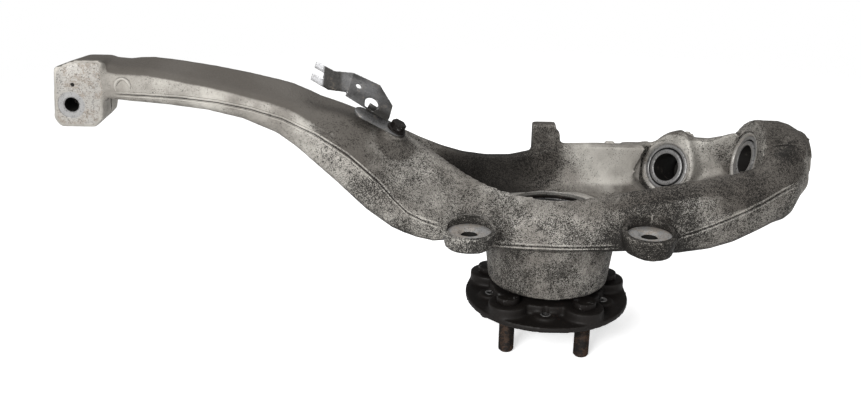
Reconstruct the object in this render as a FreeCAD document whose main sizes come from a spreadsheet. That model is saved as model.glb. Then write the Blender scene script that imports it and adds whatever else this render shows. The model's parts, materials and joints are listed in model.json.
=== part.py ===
import FreeCAD, Part
import math
import os
import re
import Sketcher
from FreeCAD import Placement, Rotation, Vector

# Steering knuckle with its wheel hub, bearing, two pressed-in bushes and a line bracket.
# Z is the hub axis, 0 at the face the wheel bolts to, +Z towards the middle of the car.
# -X is the tall upper arm, +X the lower end, -Y the side with the two caliper ears.

doc = FreeCAD.newDocument("steering_knuckle")
sheet = doc.addObject("Spreadsheet::Sheet", "Sizes")

# Driving sizes in millimetres and degrees, by group
SIZES = {
    "wheel_pcd": 114.3,
    "stud_count": 5,
    "stud_thread_d": 14,
    "stud_knurl_d": 15,
    "stud_reach": 34,
    "stud_head_d": 20.5,
    "stud_head_height": 6,
    "stud_point": 1.5,
    "stud_clocking": -6.3,
    "flange_d": 150,
    "flange_rim": 5,
    "flange_pad": 14.35,
    "flange_boss_d": 104,
    "stud_lobe_d": 35,
    "pilot_d": 66,
    "pilot_height": 8,
    "hub_recess_d": 54,
    "hub_recess_depth": 7,
    "neck_d": 62,
    "spigot_d": 45,
    "spline_bore_d": 30,
    "screw_pcd": 107,
    "screw_d": 7,
    "screw_pad_d": 20,
    "screw_pad_height": 3,
    "bearing_base": 38,
    "bearing_d": 84,
    "bearing_width": 45,
    "bearing_lip_d": 78,
    "roller_pitch_d": 64.4,
    "roller_angle": 12,
    "roller_d": 6.4,
    "roller_length": 14,
    "roller_count": 16,
    "row_offset": 11.5,
    "cone_rib_d": 64.6,
    "cone_foot_d": 57.2,
    "rib_gap": 0.9,
    "cage_thick": 1.3,
    "rolling_gap": 0.04,
    "running_gap": 0.3,
    "circlip_thick": 2.4,
    "circlip_depth": 2.2,
    "circlip_width": 5,
    "circlip_mouth": 26,
    "seal_thick": 1.6,
    "lip_seal_thick": 5,
    "housing_base": 21.5,
    "housing_base_d": 109,
    "housing_top_d": 124,
    "deck_height": 73,
    "floor_height": 86,
    "land_d": 102,
    "land_height": 2.5,
    "arm_reach": 405,
    "arm_height": 203,
    "end_reach": 222,
    "block_width": 42,
    "block_front": 25,
    "block_back": 21,
    "block_rise": 19.5,
    "block_drop": 39,
    "block_lean": 4.5,
    "block_fall": 5,
    "block_corner": 7,
    "pinch_bolt_d": 12.5,
    "pinch_seat_d": 23,
    "pinch_seat_depth": 0.8,
    "pinch_bolt_out": 9,
    "pinch_bolt_drop": 19.5,
    "ball_stud_d": 18,
    "ball_stud_rise": 2,
    "pinch_slot": 2.5,
    "ear_left": -76.5,
    "ear_right": 72.5,
    "ear_offset": -80,
    "ear_face": 96,
    "ear_rim": 2,
    "ear_thick": 12,
    "ear_d": 42,
    "ear_draft": 3,
    "ear_web": 40,
    "spot_d": 37,
    "spot_depth": 34,
    "ear_hole_d": 14,
    "ear_hole_flare": 2.5,
    "tab_left": -14,
    "tab_width": 22,
    "tab_front": 57,
    "tab_thick": 15,
    "tab_top": 149,
    "tab_step": 4,
    "tab_step_top": 141,
    "bush_seat_d": 43.4,
    "bush_boss_length": 47,
    "bush_bolt_d": 16,
    "bush_face_d": 52,
    "bush_length": 38,
    "bush_lip": 1.5,
    "bush_shell": 3.2,
    "bush_bond": 0.03,
    "bush_sleeve_d": 34,
    "bush_bore_d": 26,
    "bush_recess": 1.2,
    "bush_sleeve_proud": 0.8,
    "side_bush_x": 112.7,
    "side_bush_y": 55,
    "side_bush_z": 110.2,
    "side_bush_turn": 46.3,
    "side_bush_tilt": 18,
    "side_bush_boss_d": 58,
    "side_bush_view": 20,
    "end_bush_x": 175.3,
    "end_bush_y": 24,
    "end_bush_z": 129.5,
    "end_bush_turn": 85.7,
    "end_bush_tilt": 13.9,
    "end_bush_boss_d": 74,
    "end_bush_view": 30,
    "bracket_sheet": 2,
    "bracket_share": 0.348,
    "bracket_y": -2,
    "bracket_over": 4.1,
    "bracket_droop": 2.3,
    "bracket_lean": 10,
    "bracket_foot": 40,
    "bracket_width": 19,
    "bracket_pad_d": 22,
    "bracket_pad_length": 26,
    "bracket_hole_d": 8.6,
    "bolt_d": 8,
    "bolt_head": 12,
    "bolt_head_height": 5.5,
    "bolt_flange_d": 17,
    "bolt_flange_height": 1.6,
    "bolt_depth": 20,
}
for row, (alias, size) in enumerate(SIZES.items(), start=1):
    sheet.set(f"A{row}", alias)
    sheet.set(f"B{row}", str(size))
    sheet.setAlias(f"B{row}", alias)
doc.recompute()


def size(name):
    """One driving size from the sheet."""
    return float(sheet.get(name))


def bound(text):
    """The same formula with each size read from the sheet."""
    return re.sub(r"[a-z]+(_[a-z]+)+", lambda word: "Sizes." + word.group(0), text)


def worth(text):
    """What a formula in the sheet's sizes comes to now."""
    found = sheet.evalExpression(bound(text))
    return float(getattr(found, "Value", found))


def tie(item, prop, text):
    """Bind one property of a feature to a formula in the sheet's sizes."""
    item.setExpression(prop, bound(text))


pieces = {}


def keep(name, item):
    """Name a finished sub-part, which is written to its own file."""
    item.Label = name
    pieces[name] = item
    return item


def origin_plane(body, role):
    for feature in body.Origin.OriginFeatures:
        if feature.Role == role:
            return feature
    raise ValueError(role)


def origin_axis(body, role):
    return (origin_plane(body, role), [""])


def outline_sketch(body, name, plane, corners):
    """A closed outline whose corners are pairs of formulas, each corner held by its two distances."""
    sketch = body.newObject("Sketcher::SketchObject", name)
    sketch.AttachmentSupport = [(origin_plane(body, plane), "")]
    sketch.MapMode = "FlatFace"
    spots = [Vector(worth(across), worth(up), 0) for across, up in corners]
    count = len(spots)
    for number, spot in enumerate(spots):
        sketch.addGeometry(Part.LineSegment(spot, spots[(number + 1) % count]), False)
    for number, (across, up) in enumerate(corners):
        before = (number - 1) % count
        sketch.addConstraint(Sketcher.Constraint("Coincident", before, 2, number, 1))
        for kind, text, now in (("DistanceX", across, spots[number].x), ("DistanceY", up, spots[number].y)):
            place = sketch.addConstraint(Sketcher.Constraint(kind, -1, 1, number, 1, now))
            sketch.setExpression(f"Constraints[{place}]", bound(text))
    return sketch


def turned(name, corners):
    """A turned piece: an outline of (radius, height) corners spun about the hub axis."""
    body = doc.addObject("PartDesign::Body", name)
    sketch = outline_sketch(body, name + "_outline", "XZ_Plane", corners)
    spin = body.newObject("PartDesign::Revolution", name + "_turn")
    spin.Profile = sketch
    spin.ReferenceAxis = origin_axis(body, "Z_Axis")
    spin.Angle = 360
    body.Tip = spin
    return body


def rounded_ring(x, corners):
    """A closed wire in the plane at x, with each (y, z, cut) corner rounded by an arc."""
    spots = [Vector(x, y, z) for y, z, cut in corners]
    count = len(spots)
    arcs = []
    for number, (y, z, cut) in enumerate(corners):
        here = spots[number]
        back = spots[number - 1] - here
        on = spots[(number + 1) % count] - here
        reach = min(cut, 0.45 * back.Length, 0.45 * on.Length)
        back.normalize()
        on.normalize()
        half = back.getAngle(on) / 2
        inward = (back + on).normalize()
        middle = here + inward * (reach / math.cos(half) * (1 - math.sin(half)))
        arcs.append((here + back * reach, middle, here + on * reach))
    edges = []
    for number, (start, middle, end) in enumerate(arcs):
        following = arcs[(number + 1) % count][0]
        edges.append(Part.Arc(start, middle, end).toShape())
        edges.append(Part.LineSegment(end, following).toShape())
    return Part.Wire(edges)


def eased(stations, x):
    """The row of numbers at x on smooth curves through the stations' rows."""
    places = [station[0] for station in stations]
    span = max(0, min(len(places) - 2, sum(place <= x for place in places) - 1))
    first, last = places[span], places[span + 1]
    share = (x - first) / (last - first)
    row = []
    for column in range(1, len(stations[0])):
        slopes = []
        for near in (span, span + 1):
            low = max(0, near - 1)
            high = min(len(places) - 1, near + 1)
            rise = stations[high][column] - stations[low][column]
            slopes.append(rise / (places[high] - places[low]) * (last - first))
        start, end = stations[span][column], stations[span + 1][column]
        row.append(
            start * (1 + 2 * share) * (1 - share) ** 2
            + slopes[0] * share * (1 - share) ** 2
            + end * share ** 2 * (3 - 2 * share)
            + slopes[1] * share ** 2 * (share - 1)
        )
    return row


# Longest gap between two rings of a loft
RING_STEP = 24


def lofted(name, stations, cuts):
    """A solid through rings eased between the stations, whose rows hold y, z of each corner."""
    rings = []
    for (start, *_), (end, *_) in zip(stations, stations[1:]):
        parts = max(1, round((end - start) / RING_STEP))
        rings += [start + (end - start) * part / parts for part in range(parts)]
    rings.append(stations[-1][0])
    wires = []
    for x in rings:
        row = eased(stations, x)
        corners = list(zip(row[0::2], row[1::2], cuts))
        wires.append(rounded_ring(x, corners))
    feature = doc.addObject("Part::Feature", name)
    feature.Shape = Part.makeLoft(wires, True, True)
    return feature


# The casting's rings: front foot, parting edge, shoulder, rear top, rear edge and rear foot,
# each as (y, height from the spine), with the corner cuts below.
RING_CUTS = (9, 5, 16, 8, 7, 9)

# Upper arm: share of the reach, share of the rise from deck to arm, then the six corners
ARM_RINGS = (
    (0.968, 1.000, (-22, -15), (-25, -9), (-22, 15.5), (18, 15), (22, 2), (18, -13)),
    (0.815, 0.954, (-21, -13), (-25, -6.3), (-22, 9), (20, 15.5), (24, 2), (18, -14)),
    (0.667, 0.885, (-24, -13.5), (-28, -5.3), (-24, 5), (22, 14), (27, 0), (21, -15)),
    (0.531, 0.731, (-29, -20), (-34, -5.5), (-25, 12), (27, 19), (34, 0), (28, -18)),
    (0.407, 0.492, (-39, -32), (-45, -7), (-10, 31), (34, 29), (45, 0), (39, -28)),
    (0.296, 0.285, (-54, -25.4), (-58, -9), (0, 36), (50, 29.5), (58, 0), (52, -26)),
)

# Middle and lower end: share of the end reach, height of the spine over the deck, the six corners
TUB_RINGS = (
    (-0.360, 20, (-63, -16), (-67, -11), (-18, 36), (58, 31), (66, 7), (60, -17)),
    (-0.158, 20, (-65, -20), (-70, -14), (-46, 23.5), (63, 27.5), (71, 5), (65, -20)),
    (0.068, 20, (-66, -20), (-71, -14), (-58, 19.5), (66, 39), (74, 5), (68, -20)),
    (0.338, 20, (-63, -19.5), (-69.5, -11), (-57, 32.5), (69, 38), (78, 5), (71, -20)),
    (0.586, 30, (-59, -25), (-65.5, -4), (-46, 30), (67, 30), (84, -2), (73, -26)),
    (0.788, 43, (-47.5, -25), (-53, 0), (-27, 20), (51, 26), (69, -2), (59, -29)),
    (0.923, 53, (-32, -24), (-37, 0), (-6, 26), (28, 36), (48, -1), (38, -28)),
    (1.000, 53, (-15, -12), (-17, 0), (-2, 23), (8, 31), (17, 8), (12, -6)),
)


def casting_stations():
    rows = []
    for share, rise, *corners in ARM_RINGS:
        spine = size("deck_height") + rise * (size("arm_height") - size("deck_height"))
        row = [-share * size("arm_reach")]
        for y, up in corners:
            row += [y, spine + up]
        rows.append(row)
    for share, lift, *corners in TUB_RINGS:
        row = [share * size("end_reach")]
        for y, up in corners:
            row += [y, size("deck_height") + lift + up]
        rows.append(row)
    return rows


# The dish: share of the end reach, floor over the deck, floor front, floor rear, rim front, rim rear
DISH_RINGS = (
    (-0.580, 66, 22, 30, 16, 42),
    (-0.470, 46, 8, 34, -2, 46),
    (-0.300, 18, -22, 40, -27, 51),
    (-0.120, 13, -38, 46, -48, 54),
    (0.068, 13, -42, 50, -54, 57),
    (0.338, 13, -40, 50, -52, 60),
    (0.560, 18, -32, 48, -42, 58),
    (0.700, 26, -20, 42, -32, 52),
    (0.812, 34, -8, 38, -22, 46),
)
DISH_CUTS = (14, 4, 4, 16)
DISH_TOP = 110


def dish_stations():
    top = size("deck_height") + DISH_TOP
    rows = []
    for share, lift, low_front, low_rear, rim_front, rim_rear in DISH_RINGS:
        floor = size("deck_height") + lift
        row = [share * size("end_reach"), low_front, floor, rim_front, top, rim_rear, top, low_rear, floor]
        rows.append(row)
    return rows


def cylinder(name, across, length, place, rotation=None):
    """A cylinder bound to the sheet; place is three formulas for the middle of its foot."""
    item = doc.addObject("Part::Cylinder", name)
    tie(item, "Radius", f"({across}) / 2")
    tie(item, "Height", length)
    return put(item, place, rotation)


def put(item, place, rotation=None):
    """Place a solid by three formulas, turned by a fixed rotation when one is given."""
    if rotation is not None:
        item.Placement = Placement(Vector(), rotation)
    for axis, text in zip("xyz", place):
        tie(item, f".Placement.Base.{axis}", text)
    return item


def box(name, sides, place):
    item = doc.addObject("Part::Box", name)
    for prop, text in zip(("Length", "Width", "Height"), sides):
        tie(item, prop, text)
    return put(item, place)


def joined(name, items):
    union = doc.addObject("Part::MultiFuse", name)
    union.Shapes = items
    return union


def added(name, base, tool):
    union = doc.addObject("Part::Fuse", name)
    union.Base = base
    union.Tool = tool
    return union


def carved(name, base, tool):
    cut = doc.addObject("Part::Cut", name)
    cut.Base = base
    cut.Tool = tool
    return cut


def toward(x, y, z):
    """The rotation that turns +Z to a direction."""
    return Rotation(Vector(0, 0, 1), Vector(x, y, z))


def mouth(bush):
    """The direction out of a bush's mouth: turned from -Y towards -X, then tilted up."""
    turn, tilt = math.radians(size(f"{bush}_bush_turn")), math.radians(size(f"{bush}_bush_tilt"))
    level = math.cos(tilt)
    return Vector(-math.sin(turn) * level, -math.cos(turn) * level, math.sin(tilt))


def bush_frame(bush):
    """The rotation of a bush, by its name in the sheet, and the direction out of its mouth."""
    out = mouth(bush)
    return toward(out.x, out.y, out.z), out


def along(bush, out, depth):
    """Place formulas at a depth formula behind the middle of a bush's mouth."""
    steps = (out.x, out.y, out.z)
    return [f"{bush}_bush_{axis} - ({depth}) * {step:.6f}" for axis, step in zip("xyz", steps)]


def pinch_block():
    """The clamp block at the arm's tip, which leans and whose top falls away to the back."""
    left = -size("arm_reach") - size("block_width") / 2
    right = left + size("block_width")
    high, low = size("arm_height") + size("block_rise"), size("arm_height") - size("block_drop")
    lean, corner = size("block_lean"), size("block_corner")
    faces = []
    for y, top in ((-size("block_front"), high), (size("block_back"), high - size("block_fall"))):
        corners = (
            (left - lean, low + corner),
            (left - lean + corner * 0.7, low),
            (right - lean - corner, low),
            (right - lean, low + corner),
            (right, top - corner * 0.4),
            (right - corner * 0.4, top),
            (left + corner * 2.6, top),
            (left, top - corner),
        )
        spots = [Vector(x, y, z) for x, z in corners]
        faces.append(Part.makePolygon(spots + spots[:1]))
    block = doc.addObject("Part::Feature", "pinch_block")
    block.Shape = Part.makeLoft(faces, True, True)
    return block


def knuckle_casting():
    outer = lofted("casting_form", casting_stations(), RING_CUTS)
    dish = lofted("dish_form", dish_stations(), DISH_CUTS)
    shell = carved("casting_shell", outer, dish)

    housing = doc.addObject("Part::Cone", "bearing_housing")
    tie(housing, "Radius1", "housing_base_d / 2")
    tie(housing, "Radius2", "housing_top_d / 2")
    tie(housing, "Height", "floor_height - housing_base")
    put(housing, ("0", "0", "housing_base"))
    land = cylinder("floor_land", "land_d", "land_height + 6", ("0", "0", "floor_height - 6"))

    solids = [pinch_block()]
    cuts = []
    for side in ("left", "right"):
        foot = "ear_face - ear_thick"
        boss = doc.addObject("Part::Cone", f"ear_{side}_boss")
        tie(boss, "Radius1", "ear_d / 2 - ear_draft")
        tie(boss, "Radius2", "ear_d / 2")
        tie(boss, "Height", "ear_thick + ear_rim")
        put(boss, (f"ear_{side}", "ear_offset", foot))
        web = box(f"ear_{side}_web", ("ear_d - ear_draft * 2", "ear_web", "ear_thick + ear_rim"),
                  (f"ear_{side} - ear_d / 2 + ear_draft", "ear_offset", foot))
        solids.append(joined(f"ear_{side}_solid", [boss, web]))
        cuts.append(cylinder(f"ear_{side}_spot", "spot_d", "spot_depth",
                             (f"ear_{side}", "ear_offset", "ear_face")))
        cuts.append(cylinder(f"ear_{side}_hole", "ear_hole_d", "ear_thick * 3",
                             (f"ear_{side}", "ear_offset", "ear_face - ear_thick * 2")))
        flare = doc.addObject("Part::Cone", f"ear_{side}_flare")
        tie(flare, "Radius1", "ear_hole_d / 2")
        tie(flare, "Radius2", "ear_hole_d / 2 + ear_hole_flare")
        tie(flare, "Height", "ear_hole_flare")
        cuts.append(put(flare, (f"ear_{side}", "ear_offset", "ear_face - ear_hole_flare")))

    tab_foot = "floor_height + 10"
    tab = box("rear_tab", ("tab_width", "tab_thick", f"tab_top - ({tab_foot})"),
              ("tab_left", "tab_front", tab_foot))
    step = box("rear_tab_step", ("tab_step + 1", "tab_thick", f"tab_step_top - ({tab_foot})"),
               ("tab_left + tab_width - 1", "tab_front", tab_foot))
    solids.append(joined("rear_tab_solid", [tab, step]))

    bosses = []
    for bush in ("side", "end"):
        turn, out = bush_frame(bush)
        bosses.append(cylinder(f"{bush}_bush_boss", f"{bush}_bush_boss_d", "bush_boss_length",
                               along(bush, out, "bush_boss_length"), turn))
        cuts.append(cylinder(f"{bush}_bush_face", "bush_face_d", f"{bush}_bush_view",
                             along(bush, out, "0"), turn))
        floor = "bush_recess + bush_length + bush_sleeve_proud"
        cuts.append(cylinder(f"{bush}_bush_seat", "bush_seat_d", f"{floor} + bush_face_d / 4",
                             along(bush, out, floor), turn))
        cuts.append(cylinder(f"{bush}_bush_bolt_hole", "bush_bolt_d", "bush_boss_length * 2",
                             along(bush, out, "bush_boss_length * 1.8"), turn))
        lip = doc.addObject("Part::Cone", f"{bush}_bush_lip")
        tie(lip, "Radius1", "bush_seat_d / 2")
        tie(lip, "Radius2", "bush_seat_d / 2 + bush_lip")
        tie(lip, "Height", "bush_lip")
        cuts.append(put(lip, along(bush, out, "bush_lip"), turn))

    solids.append(joined("bush_bosses", bosses))

    pad_turn, pad_out = bracket_frame()
    solids.append(cylinder("bracket_pad", "bracket_pad_d", "bracket_pad_length",
                           off_bracket(pad_out, "bracket_pad_length"), pad_turn))
    cuts.append(cylinder("bracket_thread", "bolt_d", "bolt_depth * 1.2",
                         off_bracket(pad_out, "bolt_depth * 1.1"), pad_turn))

    cuts.append(cylinder("bearing_seat", "bearing_d", "floor_height", ("0", "0", "bearing_base")))
    cuts.append(cylinder("bearing_lip", "bearing_lip_d", "floor_height", ("0", "0", "housing_base - 1")))
    cuts.append(cylinder("circlip_groove", "bearing_d + circlip_depth * 2", "circlip_thick + 0.1",
                         ("0", "0", "bearing_base + bearing_width")))

    across = Rotation(Vector(1, 0, 0), -90)
    bolt_spot = ("-arm_reach - pinch_bolt_out", "-block_front * 2", "arm_height - pinch_bolt_drop")
    cuts.append(cylinder("pinch_bolt_hole", "pinch_bolt_d", "block_front * 2 + block_back + 1",
                         bolt_spot, across))
    cuts.append(cylinder("pinch_bolt_seat", "pinch_seat_d", "block_front + pinch_seat_depth",
                         bolt_spot, across))
    lengthways = Rotation(Vector(0, 1, 0), 90)
    block_left = "-arm_reach - block_width / 2 - block_lean - 1"
    block_through = "block_width + block_lean + 2"
    cuts.append(cylinder("ball_stud_bore", "ball_stud_d", block_through,
                         (block_left, "0", "arm_height + ball_stud_rise"), lengthways))
    cuts.append(box("pinch_slot_cut", (block_through, "pinch_slot", "ball_stud_rise + block_drop + 1"),
                    (block_left, "-pinch_slot / 2", "arm_height - block_drop - 1")))

    lumps = doc.addObject("Part::Compound", "casting_lumps")
    lumps.Links = solids
    whole = added("casting_solid", added("casting_middle", shell, joined("housing_solid", [housing, land])), lumps)
    return keep("knuckle_casting", carved("casting_cut", whole, joined("casting_tools", cuts)))


def arm_top(x):
    """The height of the arm's top at x, half way from its shoulder to its rear top."""
    heights = eased(casting_stations(), x)[1::2]
    shoulder, rear_top = heights[2:4]
    return (shoulder + rear_top) / 2


def bracket_frame():
    """The rotation of the bracket's foot, which lies along the arm, and the direction straight off it."""
    heart, reach = -size("arm_reach") * size("bracket_share"), size("bracket_foot") / 4
    climb = arm_top(heart - reach) - arm_top(heart + reach)
    slope = math.degrees(math.atan2(climb, 2 * reach)) - size("bracket_droop")
    turn = Rotation(Vector(0, 1, 0), slope).multiply(Rotation(Vector(1, 0, 0), size("bracket_lean")))
    return turn, turn.multVec(Vector(0, 0, 1))


def bracket_spot():
    """Place formulas of the hole in the bracket's foot, just over the top of the arm."""
    top = arm_top(-size("arm_reach") * size("bracket_share"))
    return "-arm_reach * bracket_share", "bracket_y", f"{top:.3f} + bracket_over"


def off_bracket(out, depth):
    """Place formulas at a depth under the bracket's bolt."""
    steps = (out.x, out.y, out.z)
    return [f"{spot} - ({depth}) * {step:.6f}" for spot, step in zip(bracket_spot(), steps)]


def wheel_hub():
    hub = turned("hub_turning", [
        ("spline_bore_d / 2", "hub_recess_depth - pilot_height"),
        ("hub_recess_d / 2", "hub_recess_depth - pilot_height"),
        ("hub_recess_d / 2", "-pilot_height"),
        ("pilot_d / 2", "-pilot_height"),
        ("pilot_d / 2", "0"),
        ("flange_d / 2", "0"),
        ("flange_d / 2", "flange_rim"),
        ("flange_boss_d / 2", "flange_rim"),
        ("flange_boss_d / 2", "flange_pad"),
        ("neck_d / 2", "flange_pad"),
        ("neck_d / 2", "bearing_base - 1"),
        ("neck_d / 2 - 1", "bearing_base"),
        ("spigot_d / 2", "bearing_base"),
        ("spigot_d / 2", "bearing_base + bearing_width"),
        ("spline_bore_d / 2", "bearing_base + bearing_width"),
    ])
    solids = [hub]
    cuts = []
    for number in range(int(size("stud_count"))):
        turn = f"stud_clocking + 360 / stud_count * ({number} + 0.5)"
        spot = polar("wheel_pcd", turn)
        solids.append(cylinder(f"stud_lobe_{number}", "stud_lobe_d", "flange_pad", (*spot, "0")))
        cuts.append(cylinder(f"stud_hole_{number}", "stud_knurl_d", "flange_pad * 2",
                             (*spot, "-flange_pad / 2")))
        spot = polar("screw_pcd", f"stud_clocking + 360 / stud_count * {number}")
        solids.append(cylinder(f"screw_pad_{number}", "screw_pad_d", "flange_rim + screw_pad_height",
                               (*spot, "0")))
        cuts.append(cylinder(f"screw_hole_{number}", "screw_d", "flange_pad * 2",
                             (*spot, "-flange_pad / 2")))
    whole = joined("hub_solid", solids)
    return keep("wheel_hub", carved("hub_cut", whole, joined("hub_tools", cuts)))


def polar(pitch_circle, turn):
    """Formulas for a spot on a pitch circle, its angle counted from -Y towards +X."""
    return f"{pitch_circle} / 2 * sin({turn})", f"-{pitch_circle} / 2 * cos({turn})"


def wheel_studs():
    studs = []
    for number in range(int(size("stud_count"))):
        spot = polar("wheel_pcd", f"stud_clocking + 360 / stud_count * ({number} + 0.5)")
        shank = cylinder(f"stud_shank_{number}", "stud_knurl_d", "flange_pad", (*spot, "0"))
        head = cylinder(f"stud_head_{number}", "stud_head_d", "stud_head_height", (*spot, "flange_pad"))
        thread = cylinder(f"stud_thread_{number}", "stud_thread_d", "stud_reach - stud_point",
                          (*spot, "stud_point - stud_reach"))
        point = doc.addObject("Part::Cone", f"stud_point_{number}")
        tie(point, "Radius1", "stud_thread_d / 2 - stud_point")
        tie(point, "Radius2", "stud_thread_d / 2")
        tie(point, "Height", "stud_point")
        put(point, (*spot, "-stud_reach"))
        studs.append(joined(f"wheel_stud_{number}", [shank, head, thread, point]))
    group = doc.addObject("Part::Compound", "stud_group")
    group.Links = studs
    return keep("wheel_studs", group)


# Bearing: two rows of tapered rollers whose lines meet on the hub axis
MIDDLE = "(bearing_base + bearing_width / 2)"
APEX = "(roller_pitch_d / 2 / tan(roller_angle))"
TAPER = "(atan(roller_d / 2 / (roller_pitch_d / 2 / sin(roller_angle))) / 1 deg)"


def race(tilt, height, gap):
    """The radius of a raceway at a height below the bearing's middle, for the outboard row."""
    return f"(({APEX} - row_offset + ({height})) * tan({tilt}) + ({gap}))"


def outer_race(height):
    return race(f"roller_angle + {TAPER}", height, "rolling_gap")


def inner_race(height):
    return race(f"roller_angle - {TAPER}", height, "-rolling_gap")


def bearing_rings():
    half = "bearing_width / 2"
    cup = [
        ("bearing_d / 2", f"{MIDDLE} - {half}"),
        ("bearing_d / 2", f"{MIDDLE} + {half}"),
        (outer_race(half), f"{MIDDLE} + {half}"),
        (outer_race("row_offset - roller_length / 2 - 0.8"), f"{MIDDLE} + row_offset - roller_length / 2 - 0.8"),
        (outer_race("row_offset - roller_length / 2 - 0.8"), f"{MIDDLE} - row_offset + roller_length / 2 + 0.8"),
        (outer_race(half), f"{MIDDLE} - {half}"),
    ]
    keep("bearing_outer_ring", turned("cup_turning", cup))
    rib = "row_offset + roller_length / 2 + rib_gap"
    toe = "row_offset - roller_length / 2 - rib_gap"
    for row, way in (("outboard", "-"), ("inboard", "+")):
        cone = [
            ("spigot_d / 2", f"{MIDDLE} {way} {half}"),
            ("cone_rib_d / 2", f"{MIDDLE} {way} {half}"),
            ("cone_rib_d / 2", f"{MIDDLE} {way} ({rib})"),
            (inner_race(rib), f"{MIDDLE} {way} ({rib})"),
            (inner_race(toe), f"{MIDDLE} {way} ({toe})"),
            ("cone_foot_d / 2", f"{MIDDLE} {way} ({toe})"),
            ("cone_foot_d / 2", MIDDLE),
            ("spigot_d / 2", MIDDLE),
        ]
        keep(f"bearing_{row}_cone", turned(f"{row}_cone_turning", cone))


def rollers(name, way, extra, stretch):
    """One row of rollers as cones about the hub axis; extra widens and stretch lengthens each."""
    tilt = math.radians(size("roller_angle"))
    middle = worth(MIDDLE) + way * size("row_offset")
    pitch = size("roller_pitch_d") / 2
    spread = size("roller_d") / 2 / (pitch / math.sin(tilt))
    half = size("roller_length") / 2 + stretch
    solids = []
    for number in range(int(size("roller_count"))):
        turn = 2 * math.pi * number / size("roller_count")
        outward = Vector(math.cos(turn), math.sin(turn), 0)
        line = outward * math.sin(tilt) + Vector(0, 0, way * math.cos(tilt))
        heart = outward * pitch + Vector(0, 0, middle)
        small = size("roller_d") / 2 - half * spread + extra
        large = size("roller_d") / 2 + half * spread + extra
        solids.append(Part.makeCone(small, large, 2 * half, heart - line * half, line))
    row = doc.addObject("Part::Feature", name)
    row.Shape = Part.makeCompound(solids)
    return row


def bearing_rows():
    for row, way in (("outboard", -1), ("inboard", 1)):
        keep(f"{row}_rollers", rollers(f"{row}_roller_row", way, 0, 0))
        lean = "tan(roller_angle)"
        inner_edge = f"(roller_pitch_d / 2 + roller_d / 4)"
        large = "(roller_length / 2 + 1.5)"
        sign = "-" if way < 0 else "+"
        heart = f"{MIDDLE} {sign} row_offset"
        cage = turned(f"{row}_cage_turning", [
            (f"{inner_edge} + {large} * {lean}", f"{heart} {sign} {large}"),
            (f"{inner_edge} + {large} * {lean} + cage_thick", f"{heart} {sign} {large}"),
            (f"{inner_edge} - {large} * {lean} + cage_thick", f"{heart} {sign} -1 * {large}"),
            (f"{inner_edge} - {large} * {lean}", f"{heart} {sign} -1 * {large}"),
        ])
        windows = rollers(f"{row}_windows", way, size("running_gap") / 2, size("running_gap") / 2)
        keep(f"{row}_cage", carved(f"{row}_cage_cut", cage, windows))


def seals():
    top = f"{MIDDLE} + bearing_width / 2"
    keep("inboard_seal", turned("inboard_seal_turning", [
        ("cone_rib_d / 2 + running_gap", f"{top} - seal_thick - 0.2"),
        (f"{outer_race('bearing_width / 2 - seal_thick - 0.2')} - 0.05", f"{top} - seal_thick - 0.2"),
        (f"{outer_race('bearing_width / 2 - seal_thick - 0.2')} - 0.05", f"{top} - 0.2"),
        ("cone_rib_d / 2 + running_gap", f"{top} - 0.2"),
    ]))
    low = "bearing_base - 2 - lip_seal_thick"
    keep("outboard_seal", turned("outboard_seal_turning", [
        ("neck_d / 2 + running_gap", low),
        ("bearing_lip_d / 2", low),
        ("bearing_lip_d / 2", f"{low} + lip_seal_thick"),
        ("bearing_lip_d / 2 - 2", f"{low} + lip_seal_thick"),
        ("bearing_lip_d / 2 - 2", f"{low} + 2"),
        ("neck_d / 2 + running_gap", f"{low} + 2"),
    ]))


def bearing_circlip():
    """The internal snap ring over the bearing, open at the caliper side."""
    level = f"{MIDDLE} + bearing_width / 2"
    ring = turned("circlip_turning", [
        ("bearing_d / 2 + circlip_depth - circlip_width", level),
        ("bearing_d / 2 + circlip_depth", level),
        ("bearing_d / 2 + circlip_depth", f"{level} + circlip_thick"),
        ("bearing_d / 2 + circlip_depth - circlip_width", f"{level} + circlip_thick"),
    ])
    gap = box("circlip_gap", ("circlip_mouth", "bearing_d", "circlip_thick * 3"),
              ("-circlip_mouth / 2", "-bearing_d", f"{level} - circlip_thick"))
    keep("bearing_circlip", carved("circlip_cut", ring, gap))


def bush(name):
    """A pressed-in bush: outer shell, bonded rubber and bored inner sleeve, about its mouth's line."""
    turn, out = bush_frame(name)
    deep = "bush_recess + bush_length"
    inner = "bush_seat_d / 2 - bush_shell"
    layers = (
        ("shell", "bush_seat_d / 2", inner, "bush_recess", deep),
        ("rubber", f"{inner} - bush_bond", "bush_sleeve_d / 2 + bush_bond", "bush_recess + 2",
         "bush_recess + bush_length - 2"),
        ("sleeve", "bush_sleeve_d / 2", "bush_bore_d / 2", "bush_recess - bush_sleeve_proud",
         f"{deep} + bush_sleeve_proud"),
    )
    for layer, outside, inside, near, far in layers:
        whole = cylinder(f"{name}_{layer}_outside", f"({outside}) * 2", f"({far}) - ({near})",
                         along(name, out, far), turn)
        hollow = cylinder(f"{name}_{layer}_inside", f"({inside}) * 2", f"({far}) - ({near}) + 2",
                          along(name, out, f"({far}) + 1"), turn)
        keep(f"{name}_bush_{layer}", carved(f"{name}_{layer}_cut", whole, hollow))


# The bracket's raised sheet in the foot's frame: front ends of its folds from the bolt to the fork
BRACKET_FOLDS = ((-9.7, 3.3, 6.9), (-52.6, 3.9, 10.4), (-68.0, 1.9, 5.1), (-85.5, 3.0, 5.6))
BRACKET_ACROSS = Vector(-2.3, 19.9, 9.5)


def sheet_panel(corners):
    """A flat panel of the bracket's sheet, thickened to both sides of its outline."""
    face = Part.Face(Part.makePolygon(corners + corners[:1]))
    half = face.normalAt(0, 0) * (size("bracket_sheet") / 2)
    face.translate(-half)
    return face.extrude(half * 2)


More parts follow.
